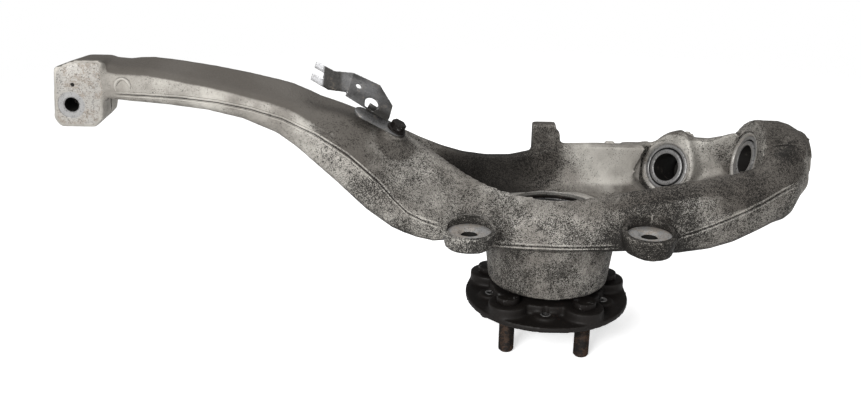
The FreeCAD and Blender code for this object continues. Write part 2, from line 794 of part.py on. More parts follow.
def line_bracket():
    """The folded sheet bracket in the foot's frame: foot, wall, raised plate and forked flange."""
    thick = size("bracket_sheet")
    half = size("bracket_width") / 2
    far = size("bracket_foot") - half
    spots = [Vector(*spot) for spot in BRACKET_FOLDS]
    near, plate_end, bend, fork = spots
    solids = [
        Part.makeBox(far, 2 * half, thick, Vector(-far, -half, 0)),
        Part.makeCylinder(half, thick, Vector(-far, 0, 0)),
        Part.makeCylinder(half, thick, Vector(0, 0, 0)),
    ]
    across = BRACKET_ACROSS
    solids.append(sheet_panel([near, plate_end, plate_end + across,
                               near + across * 1.2 + (plate_end - near) * 0.38, near + across * 0.62]))
    solids.append(sheet_panel([plate_end, bend, bend + across * 0.95, plate_end + across]))
    solids.append(sheet_panel([bend, fork, fork + across * 0.92, bend + across * 0.95]))
    for spot in (plate_end, bend):
        solids.append(Part.makeCylinder(thick / 2, across.Length * 0.95, spot, across))
    lip = Vector(0, -1, -3.6)
    solids.append(sheet_panel([near, plate_end, plate_end + lip, near + lip]))
    solids.append(Part.makeCylinder(thick / 2, (plate_end - near).Length, near, plate_end - near))
    # The wall stands on the foot's rear edge and meets the raised plate from below
    rise = across * ((half - thick / 2 - near.y) / across.y)
    low_near = Vector(near.x - 4, half - thick / 2, thick / 2)
    low_far = Vector(-far, half - thick / 2, thick / 2)
    up_near = Vector(low_near.x, low_near.y, (near + rise).z)
    up_far = Vector(low_far.x, low_far.y, (plate_end + rise).z - 1)
    solids.append(sheet_panel([low_near, low_far, up_far, up_near]))
    whole = solids[0].fuse(solids[1:])
    normal = across.cross(plate_end - near).normalize()
    cuts = [Part.makeCylinder(size("bracket_hole_d") / 2, thick * 3, Vector(0, 0, -thick))]
    for along_plate, up_plate, across_hole in ((0.44, 0.14, 13), (0.81, 0.56, 5)):
        heart = near + (plate_end - near) * along_plate + across * up_plate
        cuts.append(Part.makeCylinder(across_hole / 2, thick * 2, heart - normal * thick, normal))
    notch = fork + across * 0.3
    down = across.cross(bend - fork).normalize() * thick
    face = Part.Face(Part.makePolygon([spot - down for spot in (
        notch + (fork - bend), notch + (bend - fork) * 0.55,
        notch + (bend - fork) * 0.55 + across * 0.34, notch + (fork - bend) + across * 0.34,
        notch + (fork - bend))]))
    cuts.append(face.extrude(down * 2))
    return whole.cut(cuts)


def bracket():
    turn, out = bracket_frame()
    item = doc.addObject("Part::Feature", "bracket_sheet_metal")
    item.Shape = line_bracket()
    keep("line_bracket", put(item, bracket_spot(), turn))

    head = doc.addObject("Part::Prism", "bolt_hexagon")
    head.Polygon = 6
    tie(head, "Circumradius", "bolt_head / sqrt(3)")
    tie(head, "Height", "bolt_head_height")
    put(head, off_bracket(out, "-bracket_sheet - bolt_flange_height"), turn)
    flange = cylinder("bolt_flange", "bolt_flange_d", "bolt_flange_height",
                      off_bracket(out, "-bracket_sheet"), turn)
    shank = cylinder("bolt_shank", "bolt_d - 0.1", "bolt_depth + bracket_sheet",
                     off_bracket(out, "bolt_depth"), turn)
    keep("bracket_bolt", joined("bolt_whole", [head, flange, shank]))


knuckle_casting()
wheel_hub()
wheel_studs()
bearing_rings()
bearing_rows()
seals()
bearing_circlip()
for name in ("side", "end"):
    bush(name)
bracket()

doc.recompute()
for item in doc.Objects:
    if "Invalid" in item.State or "Error" in item.State:
        raise RuntimeError(f"{item.Name} did not build: {item.State}")
os.makedirs("parts", exist_ok=True)
for name, item in pieces.items():
    if item.Shape.isNull() or not item.Shape.isValid():
        raise RuntimeError(f"{name} has no valid shape")
    item.Shape.exportStep(f"parts/{name}.step")
    print(name, len(item.Shape.Solids), round(item.Shape.Volume))
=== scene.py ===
import json
import math

import bmesh
import bpy
from bpy.props import FloatProperty, FloatVectorProperty, IntProperty, PointerProperty
from mathutils import Matrix, Vector
from mathutils.bvhtree import BVHTree


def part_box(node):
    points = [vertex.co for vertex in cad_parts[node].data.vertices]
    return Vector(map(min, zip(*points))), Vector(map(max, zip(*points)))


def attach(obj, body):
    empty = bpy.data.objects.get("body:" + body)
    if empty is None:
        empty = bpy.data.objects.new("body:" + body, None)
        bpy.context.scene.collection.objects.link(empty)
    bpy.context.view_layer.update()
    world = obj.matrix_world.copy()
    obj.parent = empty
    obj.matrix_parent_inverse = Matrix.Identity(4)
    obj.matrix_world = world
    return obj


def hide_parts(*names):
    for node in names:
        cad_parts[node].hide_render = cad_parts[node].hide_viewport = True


bl_info = {
    "name": "Steering Knuckle",
    "version": (1, 0, 0),
    "blender": (4, 5, 0),
    "location": "View3D > Sidebar > Knuckle",
    "description": "Dresses a cast steering knuckle with its wheel hub, studs, bushes and line bracket",
    "category": "Object",
}

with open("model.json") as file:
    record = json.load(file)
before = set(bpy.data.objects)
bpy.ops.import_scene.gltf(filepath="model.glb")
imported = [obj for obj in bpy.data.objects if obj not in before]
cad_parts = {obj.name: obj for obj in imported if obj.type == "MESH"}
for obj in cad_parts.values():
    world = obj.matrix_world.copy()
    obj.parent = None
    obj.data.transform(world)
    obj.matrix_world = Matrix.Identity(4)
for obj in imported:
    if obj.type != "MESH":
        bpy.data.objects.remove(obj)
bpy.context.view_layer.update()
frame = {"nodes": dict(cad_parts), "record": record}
MM = 0.001
MOUNTS = {mount["name"]: mount for mount in frame["record"]["mounts"]}


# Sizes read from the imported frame, in metres

def low(node):
    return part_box(node)[0]


def high(node):
    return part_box(node)[1]


def mount_spot(name):
    return Vector(MOUNTS[name]["pos_m"])


def mount_axis(name):
    return Vector(MOUNTS[name]["axis"])


def mount_radius(name):
    return MOUNTS[name]["dims"]["r_mm"] * MM


def mount_length(name):
    return MOUNTS[name]["dims"]["length_mm"] * MM


BEARING_RADIUS = high("bearing_outer_ring").x
BEARING_FOOT = low("bearing_outer_ring").z
BEARING_TOP = high("bearing_outer_ring").z
SEAL_RADIUS = high("outboard_seal").x
STUD_TOP = high("wheel_studs").z
STUD_FOOT = low("wheel_studs").z
STUD_CIRCLE = MOUNTS["wheel_studs"]["dims"]["pcd_mm"] * MM / 2
STUD_RADIUS = MOUNTS["wheel_studs"]["dims"]["stud_r_mm"] * MM
SCREW_CIRCLE = MOUNTS["disc_screw_holes"]["dims"]["pcd_mm"] * MM / 2
SCREW_RADIUS = MOUNTS["disc_screw_holes"]["dims"]["hole_r_mm"] * MM
STUD_COUNT = MOUNTS["wheel_studs"]["dims"]["count"]
SPLINE_RADIUS = mount_radius("drive_shaft_bore")
EAR_BEVEL = 2.5 * MM
EAR_FACE = mount_spot("caliper_ear_left").z + mount_length("caliper_ear_left") / 2 + EAR_BEVEL

# Sizes read from the photo, in metres
STUD_CLOCKING = -6.3
BLOCK_FRONT = -25 * MM
COLLAR_WIDTH = 4.5 * MM
COLLAR_DROP = {"left": 12 * MM, "right": 14.5 * MM}
COLLAR_LIFT, COLLAR_BACK_LIFT = 2 * MM, 7 * MM
POCKET_HEIGHT = 34 * MM
CLAMP_RING = 11.5 * MM
BUSH_LENGTH = 40 * MM
BUSH_WALL = 3.2 * MM
BUSH_VIEW = {"side": 9 * MM, "end": 30 * MM}
SLEEVE_RADIUS = 17 * MM
SEAT_BEVEL = 1.5 * MM
SEAT_LIT = 30 * MM
SEAT_RIM = 2.6 * MM

# Where the bracket's slanted fold, painted dark as shade, meets its fork, painted bright as a highlight,
# and its plate
FORK_EDGE = -0.2035
PLATE_EDGE = -0.1875

# Ends of a block that fills the rear wall beside the side bush, and the shoulder that runs from the wall's
# top onto that bush's boss, in millimetres
REAR_WALL = ((72, 60, 95), (91, 70.5, 130.5))
BOSS_SHOULDER = ((78, 65, 124.5), (83, 66.5, 125), (88, 68.5, 126), (94, 71, 127), (100, 74, 127.5),
                 (106, 77, 127))
SHOULDER_RADIUS = 6.5

# Routes of the parting line, as (x, z) in millimetres on the front
PARTING_FOOT = ((-54, 80.5), (-40, 79.7), (-20, 79.2), (0, 79), (20, 79.2), (38, 79.8), (50, 80.6))
PARTING_ARM = ((-376, 193.5), (-350, 192.5), (-320, 191), (-290, 188), (-262, 183), (-235, 175.5),
               (-208, 163.5), (-180, 146.5), (-152, 124.5), (-140, 112.5), (-128, 102), (-116, 97),
               (-104, 93.5), (-96, 91.5))
PARTING_END = ((96, 88), (115, 94), (135, 101.5), (155, 108.5), (172, 115), (188, 121), (203, 126))

# How far the cast outline swells beyond the plain solid, as (x, shift) in millimetres
ARM_SAG = ((-374, 0), (-362, 2), (-240, 2), (-226, 4), (-214, 7.5), (-166, 8.5), (-142, 10), (-130, 9.2),
           (-118, 7.5), (-106, 5.5), (-95, 0))
END_SAG = ((58, 0), (68, 4), (100, 4.6), (150, 5.5), (175, 4.2), (188, 5), (198, 7.5), (206, 6), (214, 0))
ARM_RISE = ((-372, 0), (-362, 2), (-350, 3.3), (-232, 3.7), (-218, 1.6), (-208, 0))
REAR_RISE = ((106, 0), (117, 5), (128, 9), (134, 7.5), (140, 5), (151, 4), (162, 5), (172, 7), (178, 2),
             (183, 0), (193, 1.5), (205, 4), (214, 3.5), (224, 0))
REAR_LEVEL, REAR_FRONT = 120, 30
SAG_FADE, RISE_FADE, REAR_FADE = 15, 9, 14

# Nubs on the rear wall's top as (x, y), pits in the front as (x, y, z), a crease on the lower end's top as
# (x, y), and their (radius, height) profiles, in millimetres
NUBS = ((58.2, 64), (61.5, 64), (132.5, 64), (135.5, 64))
PITS = ((157, 51.5, 119.9), (-411, -25.2, 201.3))
CREASE = ((190, -4), (196, -2), (203, -2), (210, -3), (215, -5))
NUB_PROFILE = ((0, -3), (3.4, -3), (3.2, 0), (2.3, 1.3), (0, 1.9))
PIT_PROFILE = ((0, -1.4), (1.2, -0.9), (1.6, 0), (1.2, 0.5), (0, 0.7))
ARCH_RADIUS, CREASE_RADIUS = 1.8, 1.1
ARCH_CENTRE, ARCH_REACH = (-369.5, 199), (6.2, 7.6)

# Places on the cast skin as (centre, reach, fade) in metres, and how much each adds to the dark specks
# and to the darkening film: dirt round the ears, painted shade under the ledge, in the valley, on the pad
# and in the pocket, grime and painted shade in the cellar; the tab is darkened, the bare and wall places
# are cleaner
CAST_PLACES = {
    "right ear": ((0.075, -0.090, 0.084), 0.016, 0.060),
    "left ear": ((-0.080, -0.085, 0.09), 0.012, 0.040),
    # cellar_grime_and_shade: grime and painted shade in the dish's arm end
    "cellar_grime_and_shade": ((-0.055, 0.030, 0.110), 0.030, 0.035),
    "bare": ((0.065, 0.075, 0.118), 0.030, 0.040),
    # ledge_shadow: painted shadow under the body's ledge above the housing
    "ledge_shadow": ((0.045, -0.084, 0.074), 0.006, 0.022),
    # valley_shade: painted shade in the crease where the arm's slope meets the rear wall
    "valley_shade": ((-0.006, 0.056, 0.114), 0.008, 0.022),
    "tab": ((-0.003, 0.062, 0.146), 0.016, 0.014),
    # pad_shade: painted shade on the cast pad under the bracket's bolt
    "pad_shade": ((-0.141, -0.008, 0.148), 0.014, 0.008),
    # pocket: painted shade in the pocket beside the end bush
    "pocket": ((0.203, -0.010, 0.150), 0.007, 0.012),
    "wall": ((0.150, 0.056, 0.122), 0.020, 0.030),
}
SPECK_WEIGHTS = {"right ear": 0.30, "left ear": 0.22, "ledge_shadow": 0.30, "bare": -0.38, "up": -0.26,
                 "down": 0.16, "pocket": 0.16, "end top": 0.26, "wall": -0.26, "filled": 0.35,
                 "rubbed": -0.25}
FILM_AND_SHADE_WEIGHTS = {"up": 0.92, "right ear": 0.30, "cellar_grime_and_shade": 0.85, "valley_shade": 0.8, "tab": 0.4, "foot": 0.22,
                "pad_shade": 0.7, "pocket": 0.25, "end top": -0.25, "wall": -0.30, "down": 0.30, "bare": -0.45,
                "rubbed": -0.40}

# Finishes as (base, spots, metallic, roughness, share of spots, their scale, depth of the bump)
FINISHES = {
    "Hub oxide": ("oxide", "rust", 0.10, 0.55, 0.08, 60.0, 0.0006),
    # Painted shade: near-black laid into hole walls, bore floors, pits, creases and the parting groove
    "Painted shade": ("grime_and_shade", "dust_and_shade", 0.0, 0.70, 0.20, 120.0, 0.0003),
    "Rusty stud": ("rust", "oxide", 0.15, 0.62, 0.62, 110.0, 0.0005),
    "Stud head": ("oxide", "steel", 0.35, 0.50, 0.18, 160.0, 0.0003),
    "Ground steel": ("steel", "stain", 0.90, 0.28, 0.20, 90.0, 0.0001),
    "Turned steel": ("steel", "grime_and_shade", 0.80, 0.38, 0.30, 80.0, 0.0002),
    "Spring steel": ("oxide", "rust", 0.50, 0.45, 0.22, 120.0, 0.0001),
    "Black rubber": ("rubber", "dust_and_shade", 0.0, 0.70, 0.22, 140.0, 0.0004),
    "Moulded cage": ("cage", "dust_and_shade", 0.0, 0.50, 0.15, 90.0, 0.0002),
}


def length(name, about, value):
    return FloatProperty(name=name, description=about, default=value * MM, unit="LENGTH")


class KnuckleSizes(bpy.types.PropertyGroup):
    skin_cell: length("Skin cell", "Cell of the cast skin's mesh", 2.0)
    skin_rounds: IntProperty(name="Skin rounds", description="Smoothing rounds that give the cast fillets",
                             default=9)
    hub_cell: length("Hub cell", "Cell of the forged hub's mesh", 1.25)
    sheet_cell: length("Sheet cell", "Cell of the bracket's mesh", 0.5)
    spot_radius: length("Spot face radius", "Radius of the ears' machined pockets", 18.5)
    seat_radius: length("Bush seat radius", "Radius of the bored bush seats", 21.7)
    face_radius: length("Bush face radius", "Radius of the faces round the bushes", 26)
    land_radius: length("Bearing land radius", "Radius of the land round the bearing", 51)
    land_level: length("Bearing land level", "Height of that land", 88.5)
    thread_pitch: length("Thread pitch", "Pitch of the studs' threads", 1.5)
    thread_depth: length("Thread depth", "Depth of the studs' threads", 0.85)
    ridge_radius: length("Parting ridge", "Radius of the parting line's two ridges", 0.75)
    ridge_gap: length("Parting gap", "Distance between the two ridges", 3.4)
    lens: FloatProperty(name="Lens", description="Focal length of the camera", default=41.81)


def colour(name, about, rgb):
    return FloatVectorProperty(name=name, description=about, subtype="COLOR", size=3,
                               min=0, max=1, default=rgb)


class KnuckleColours(bpy.types.PropertyGroup):
    cast: colour("Cast metal", "Clean cast aluminium", (0.36, 0.338, 0.305))
    # cast_pale: bare cast aluminium, also laid on convex edges as wear and painted highlight
    cast_pale: colour("Pale metal", "Rubbed and bare cast aluminium", (0.62, 0.595, 0.545))
    # grime_and_shade: oily road dirt in the grain, also the near-black of the painted shade in holes and
    # corners
    grime_and_shade: colour("Grime and shade", "Oily road dirt in the grain, also painted as shade", (0.008, 0.007, 0.006))
    # dust_and_shade: the brown dust film, also laid as painted shade where the film darkens shaded places
    dust_and_shade: colour("Dust and shade", "Brown dust film, also painted as shade", (0.085, 0.075, 0.065))
    machined: colour("Machined metal", "Cut aluminium faces", (0.47, 0.45, 0.42))
    stain: colour("Stain", "Brown stain on cut faces", (0.24, 0.20, 0.16))
    oxide: colour("Oxide", "Painted shade of the hub", (0.010, 0.008, 0.007))
    rust: colour("Rust", "Brown rust", (0.060, 0.036, 0.024))
    steel: colour("Steel", "Ground and turned steel", (0.40, 0.395, 0.39))
    # zinc: zinc plated sheet, shown where its painted highlights fall
    zinc: colour("Zinc", "Zinc plated sheet", (0.60, 0.60, 0.61))
    # zinc_shade: the sheet's colour under its painted shade
    zinc_shade: colour("Shaded zinc", "Zinc sheet in its own shade", (0.05, 0.048, 0.045))
    rubber: colour("Rubber", "Bonded rubber", (0.012, 0.012, 0.013))
    cage: colour("Cage", "Moulded roller cage", (0.16, 0.12, 0.07))
    floor: colour("Floor", "Pale studio floor", (0.90, 0.90, 0.90))


def sizes():
    return bpy.context.scene.knuckle_sizes


def colours():
    return bpy.context.scene.knuckle_colours


def rgba(name):
    return (*getattr(colours(), name), 1)


# Shader helpers: every node is added through one call that sets its sockets and links

class Graph:
    """A node tree with a short way to add nodes; a socket value may be another node's output."""

    def __init__(self, tree):
        self.tree = tree

    def add(self, kind, settings=None, **sockets):
        node = self.tree.nodes.new(kind)
        for name, value in (settings or {}).items():
            setattr(node, name, value)
        self.feed(node, **sockets)
        return node

    def feed(self, node, **sockets):
        """Set or link a node's inputs: i0 is its first input, Base_Color the one named Base Color."""
        for name, value in sockets.items():
            key = int(name[1:]) if name[0] == "i" and name[1:].isdigit() else name.replace("_", " ")
            socket = node.inputs[key]
            if isinstance(value, bpy.types.NodeSocket):
                self.tree.links.new(value, socket)
            else:
                socket.default_value = value

    def noise(self, vector, scale, detail=4.0, rough=0.6):
        node = self.add("ShaderNodeTexNoise", Vector=vector, Scale=scale, Detail=detail, Roughness=rough)
        return node.outputs["Fac"]

    def spread(self, value, low_in, high_in, low_out=0.0, high_out=1.0):
        node = self.add("ShaderNodeMapRange", {"interpolation_type": "SMOOTHSTEP"}, Value=value,
                        From_Min=low_in, From_Max=high_in, To_Min=low_out, To_Max=high_out)
        return node.outputs["Result"]

    def math(self, way, first, second=0.0, clamp=False):
        node = self.add("ShaderNodeMath", {"operation": way, "use_clamp": clamp}, i0=first, i1=second)
        return node.outputs["Value"]

    def blend(self, share, first, second, way="MIX"):
        node = self.add("ShaderNodeMix", {"data_type": "RGBA", "blend_type": way})
        self.feed(node, i0=share, i6=first, i7=second)
        return node.outputs[2]

    def pile(self, value, masks, weights):
        """A value with each named mask added at its weight."""
        for name, weight in weights.items():
            value = self.math("ADD", value, self.math("MULTIPLY", masks[name], weight))
        return value

    def bump(self, height, distance, strength=1.0, normal=None):
        node = self.add("ShaderNodeBump", Height=height, Distance=distance, Strength=strength)
        if normal is not None:
            self.feed(node, Normal=normal)
        return node.outputs["Normal"]


def effect_group(name, numbers, outputs, build):
    """A shader node group made once: build fills it from a graph and its input sockets by name.

    It takes a Vector and the given numbers with their defaults, and puts out named numbers.
    """
    found = bpy.data.node_groups.get(name)
    if found:
        return found
    group = bpy.data.node_groups.new(name, "ShaderNodeTree")
    group.interface.new_socket("Vector", in_out="INPUT", socket_type="NodeSocketVector")
    for label, default in numbers.items():
        socket = group.interface.new_socket(label, in_out="INPUT", socket_type="NodeSocketFloat")
        socket.default_value = default
    for label in outputs:
        group.interface.new_socket(label, in_out="OUTPUT", socket_type="NodeSocketFloat")
    graph = Graph(group)
    start = group.nodes.new("NodeGroupInput")
    end = group.nodes.new("NodeGroupOutput")
    graph.feed(end, **build(graph, start.outputs))
    return group


def grain_group():
    """Specks of dirt caught in a rough cast grain, more of them where Amount is high."""

    def build(graph, given):
        fine = graph.noise(given["Vector"], given["Scale"], 3.0, 0.65)
        coarse = graph.noise(given["Vector"], graph.math("MULTIPLY", given["Scale"], 0.3), 3.0, 0.7)
        both = graph.math("ADD", graph.math("MULTIPLY", fine, 0.72), graph.math("MULTIPLY", coarse, 0.28))
        edge = graph.math("SUBTRACT", 0.66, graph.math("MULTIPLY", given["Amount"], 0.28))
        over = graph.math("SUBTRACT", both, edge)
        specks = graph.spread(over, -0.055, 0.045)
        return {"Specks": specks, "Height": both}

    return effect_group("Cast grain", {"Scale": 700.0, "Amount": 0.5}, ("Specks", "Height"), build)


def wear_light_and_shade_group():
    """Rubbed edges and painted highlight, grime and painted shade in corners, from the curvature."""

    def build(graph, given):
        turn = graph.add("ShaderNodeNewGeometry").outputs["Pointiness"]
        patches = graph.noise(given["Vector"], 90.0, 4.0, 0.6)
        edge = graph.math("ADD", turn, graph.math("MULTIPLY", graph.math("SUBTRACT", patches, 0.5), 0.05))
        rubbed = graph.spread(edge, 0.515, graph.math("SUBTRACT", 0.60, given["Reach"]))
        filled = graph.spread(edge, 0.49, graph.math("ADD", 0.41, given["Reach"]))
        return {"Rubbed": rubbed, "Filled": filled}

    return effect_group("Edge wear, light and shade", {"Reach": 0.0}, ("Rubbed", "Filled"), build)


def bloom_group():
    """Uneven blotches of rust or stain."""

    def build(graph, given):
        wide = graph.noise(given["Vector"], given["Scale"], 6.0, 0.7)
        fine = graph.noise(given["Vector"], graph.math("MULTIPLY", given["Scale"], 6.0), 3.0, 0.6)
        both = graph.math("ADD", graph.math("MULTIPLY", wide, 0.7), graph.math("MULTIPLY", fine, 0.3))
        edge = graph.math("SUBTRACT", 0.68, graph.math("MULTIPLY", given["Amount"], 0.34))
        return {"Blotches": graph.spread(graph.math("SUBTRACT", both, edge), -0.05, 0.06), "Height": both}

    return effect_group("Bloom", {"Scale": 60.0, "Amount": 0.5}, ("Blotches", "Height"), build)


def material(name):
    """A new named material, as (material, graph, principled shader, object coordinates)."""
    made = bpy.data.materials.new(name)
    made.use_nodes = True
    tree = made.node_tree
    tree.nodes.clear()
    graph = Graph(tree)
    shader = graph.add("ShaderNodeBsdfPrincipled")
    graph.add("ShaderNodeOutputMaterial", Surface=shader.outputs["BSDF"])
    place = graph.add("ShaderNodeTexCoord").outputs["Object"]
    return made, graph, shader, place


def use_group(graph, group, **sockets):
    return graph.add("ShaderNodeGroup", {"node_tree": group}, **sockets).outputs


def near(graph, place, spot, reach, fade):
    """A mask that is 1 within reach of a spot in the row frame and fades out beyond it."""
    gap = graph.add("ShaderNodeVectorMath", {"operation": "DISTANCE"}, i0=place, i1=spot).outputs["Value"]
    return graph.spread(gap, reach, reach + fade, 1.0, 0.0)


def cast_material():
    """Sand-cast aluminium, warm grey, with dirt in its grain and painted shade in recesses and undersides.
    """
    if "Cast aluminium" in bpy.data.materials:
        return bpy.data.materials["Cast aluminium"]
    made, graph, shader, place = material("Cast aluminium")
    spot = graph.add("ShaderNodeSeparateXYZ", Vector=place).outputs
    facing = graph.add("ShaderNodeNewGeometry").outputs["Normal"]
    facing = graph.add("ShaderNodeSeparateXYZ", Vector=facing).outputs

    # Where the dirt and the painted shade lie: little on the arm, dirt most round the right ear, grime and
    # painted shade in the dish's arm end
    masks = {name: near(graph, place, *where) for name, where in CAST_PLACES.items()}
    away = graph.math("ABSOLUTE", graph.math("ADD", spot["X"], 0.055))
    beyond = graph.spread(away, 0.085, 0.125, 0.22, 1.0)
    masks["up"] = graph.math("MULTIPLY", graph.spread(facing["Z"], 0.42, 0.66), beyond)
    masks["end top"] = graph.math("MULTIPLY", masks["up"], graph.spread(spot["X"], 0.03, 0.07))
    # Faces that look down are darkened as painted shade
    masks["down"] = graph.spread(facing["Z"], -0.25, -0.75)
    # The body's foot above the housing is darkened as painted shade
    masks["foot"] = graph.spread(spot["Z"], 0.073, 0.066)
    wear = use_group(graph, wear_light_and_shade_group(), Vector=place, Reach=0.0)
    masks["rubbed"], masks["filled"] = wear["Rubbed"], wear["Filled"]
    arm = graph.spread(spot["X"], -0.27, -0.17, 0.12, 0.56)
    clouds = graph.spread(graph.noise(place, 34.0, 5.0, 0.66), 0.30, 0.70, -0.17, 0.17)
    # More dark specks where dirt lies, and as painted shade under the ledge, in the pocket and on undersides
    amount = graph.pile(graph.math("ADD", arm, clouds), masks, SPECK_WEIGHTS)
    amount = graph.math("MAXIMUM", amount, 0.0, clamp=True)
    grain = use_group(graph, grain_group(), Vector=place, Scale=1350.0, Amount=amount)

    # The film of dust darkens what faces up and everything from the arm's foot to the lower end; it also
    # paints shade on faces that look down, at the body's foot and in the shaded places
    film_and_shade = graph.pile(graph.spread(spot["X"], -0.34, 0.16, 0.34, 0.50), masks, FILM_AND_SHADE_WEIGHTS)
    mottle = graph.spread(graph.noise(place, 55.0, 6.0, 0.72), 0.30, 0.72, -0.26, 0.26)
    film_and_shade = graph.math("ADD", film_and_shade, mottle, clamp=True)
    tone = graph.spread(graph.noise(place, 16.0, 3.0, 0.5), 0.35, 0.65)
    metal = graph.blend(tone, rgba("cast"), rgba("cast_pale"))
    metal = graph.blend(graph.math("MULTIPLY", film_and_shade, 0.90), metal, rgba("dust_and_shade"))
    # Convex edges are lighter: edge wear and painted highlight
    metal = graph.blend(graph.math("MULTIPLY", masks["rubbed"], 0.35), metal, rgba("cast_pale"))
    # The dish's arm end is darkened with grime and painted shade
    metal = graph.blend(graph.math("MULTIPLY", masks["cellar_grime_and_shade"], 0.72), metal, rgba("grime_and_shade"))
    specks = graph.math("MULTIPLY", grain["Specks"], 0.96)
    bare = graph.math("SUBTRACT", 1.0, grain["Specks"])
    deep = graph.bump(graph.noise(place, 260.0, 5.0, 0.62), 0.0009, 0.55)
    graph.feed(shader, Base_Color=graph.blend(specks, metal, rgba("grime_and_shade")),
               Metallic=graph.math("MULTIPLY", bare, 0.30), Specular_IOR_Level=0.15,
               Roughness=graph.spread(grain["Height"], 0.35, 0.65, 0.50, 0.70),
               Normal=graph.bump(grain["Height"], 0.0006, 0.55, deep))
    return made


def weathered(graph, place, tone, bloom, grain):
    """A colour under blotches and dirt, as (colour, blotches, their height).

    bloom is (colour, scale, amount, cover) and grain is (scale, amount, cover).
    """
    spots, scale, amount, cover = bloom
    bloom = use_group(graph, bloom_group(), Vector=place, Scale=scale, Amount=amount)
    tone = graph.blend(graph.math("MULTIPLY", bloom["Blotches"], cover), tone, spots)
    scale, amount, cover = grain
    grain = use_group(graph, grain_group(), Vector=place, Scale=scale, Amount=amount)
    tone = graph.blend(graph.math("MULTIPLY", grain["Specks"], cover), tone, rgba("grime_and_shade"))
    return tone, bloom["Blotches"], bloom["Height"]


def machined_material(name, centre, axis, stain, base_name="machined"):
    """Turned or milled aluminium with fine tool rings about an axis and brown stains."""
    made, graph, shader, place = material(name)
    across = Vector(axis).to_track_quat("Z", "Y").to_matrix().inverted().to_euler()
    local = graph.add("ShaderNodeVectorMath", {"operation": "SUBTRACT"}, i0=place, i1=centre).outputs[0]
    turn = graph.add("ShaderNodeVectorRotate", {"rotation_type": "EULER_XYZ"}, Vector=local,
                     Rotation=tuple(across)).outputs[0]
    flat = graph.add("ShaderNodeSeparateXYZ", Vector=turn).outputs
    radius = graph.math("SQRT", graph.math("ADD", graph.math("POWER", flat["X"], 2.0),
                                           graph.math("POWER", flat["Y"], 2.0)))
    rings = graph.math("SINE", graph.math("MULTIPLY", radius, 6500.0))
    tone, blotches, height = weathered(graph, place, rgba(base_name), (rgba("stain"), 110.0, stain, 0.7),
                                       (1200.0, 0.30, 0.8))
    stained = graph.math("MULTIPLY", blotches, 0.4)
    graph.feed(shader, Base_Color=tone, Metallic=graph.math("SUBTRACT", 0.45, stained),
               Specular_IOR_Level=0.3, Roughness=graph.spread(height, 0.3, 0.7, 0.28, 0.5),
               Normal=graph.bump(rings, 0.00004, 0.5))
    return made


def worn_metal(name, base, spots, metallic, rough, amount, scale, depth):
    """Steel, rusty or plated: base colour under blotches, grime and painted shade in corners, fine bump."""
    made, graph, shader, place = material(name)
    wear = use_group(graph, wear_light_and_shade_group(), Vector=place, Reach=0.0)
    tone, blotches, height = weathered(graph, place, base, (spots, scale, amount, 1.0),
                                       (scale * 12, 0.30, 0.55))
    # Concave corners are darkened with grime and painted shade
    tone = graph.blend(graph.math("MULTIPLY", wear["Filled"], 0.5), tone, rgba("grime_and_shade"))
    bare = graph.math("SUBTRACT", 1.0, blotches)
    graph.feed(shader, Base_Color=tone, Metallic=graph.math("MULTIPLY", bare, metallic),
               Specular_IOR_Level=0.25, Normal=graph.bump(height, depth, 0.6),
               Roughness=graph.spread(height, 0.3, 0.7, rough - 0.08, rough + 0.12))
    return made


def zinc_material():
    """Zinc plated sheet with painted highlights and painted shade in broad patches."""
    made, graph, shader, place = material("Zinc plate")
    side = graph.add("ShaderNodeSeparateXYZ", Vector=place).outputs["X"]
    # Broad patches of painted reflection on the sheet
    painted_sheen = graph.spread(graph.noise(place, 38.0, 1.5, 0.4), 0.38, 0.66, 0.0, 0.30)
    # The fork is painted bright as a highlight
    lit_fork = graph.spread(side, FORK_EDGE + 1.5 * MM, FORK_EDGE - 1.5 * MM)
    # The slanted fold, painted dark as shade
    shaded_fold = graph.math("MULTIPLY", graph.spread(side, FORK_EDGE - MM, FORK_EDGE + 2 * MM),
                      graph.spread(side, PLATE_EDGE + MM, PLATE_EDGE - 2 * MM))
    facing = graph.add("ShaderNodeNewGeometry").outputs["Normal"]
    level = graph.add("ShaderNodeSeparateXYZ", Vector=facing).outputs["Z"]
    # Faces that look up get more painted highlight
    painted_sheen = graph.math("ADD", painted_sheen, graph.spread(level, 0.80, 0.92, 0.0, 0.25))
    painted_sheen = graph.math("ADD", painted_sheen, lit_fork, clamp=True)
    painted_sheen = graph.math("MULTIPLY", painted_sheen, graph.math("SUBTRACT", 1.0, graph.math("MULTIPLY", shaded_fold, 0.93)))
    tone, blotches, height = weathered(graph, place, graph.blend(painted_sheen, rgba("zinc_shade"), rgba("zinc")),
                                       (rgba("stain"), 150.0, 0.25, 0.6), (1500.0, 0.25, 0.6))
    bare = graph.math("SUBTRACT", 1.0, blotches)
    graph.feed(shader, Base_Color=tone, Metallic=graph.math("MULTIPLY", bare, 0.5), Specular_IOR_Level=0.15,
               Roughness=graph.spread(height, 0.3, 0.7, 0.20, 0.36),
               Normal=graph.bump(height, 0.0002, 0.5))
    return made


def finish(name):
    """One of the knuckle's finishes by name, made the first time it is asked for."""
    if name in bpy.data.materials:
        return bpy.data.materials[name]
    if name == "Cast aluminium":
        return cast_material()
    if name == "Zinc plate":
        return zinc_material()
    base, spots, metallic, rough, amount, scale, depth = FINISHES[name]
    return worn_metal(name, rgba(base), rgba(spots), metallic, rough, amount, scale, depth)


# Mesh helpers

def new_mesh_object(name, verts, faces, *finishes):
    mesh = bpy.data.meshes.new(name)
    mesh.from_pydata([tuple(spot) for spot in verts], [], faces)
    mesh.update()
    for made in finishes:
        mesh.materials.append(made)
    thing = bpy.data.objects.new(name, mesh)
    bpy.context.scene.collection.objects.link(thing)
    return thing


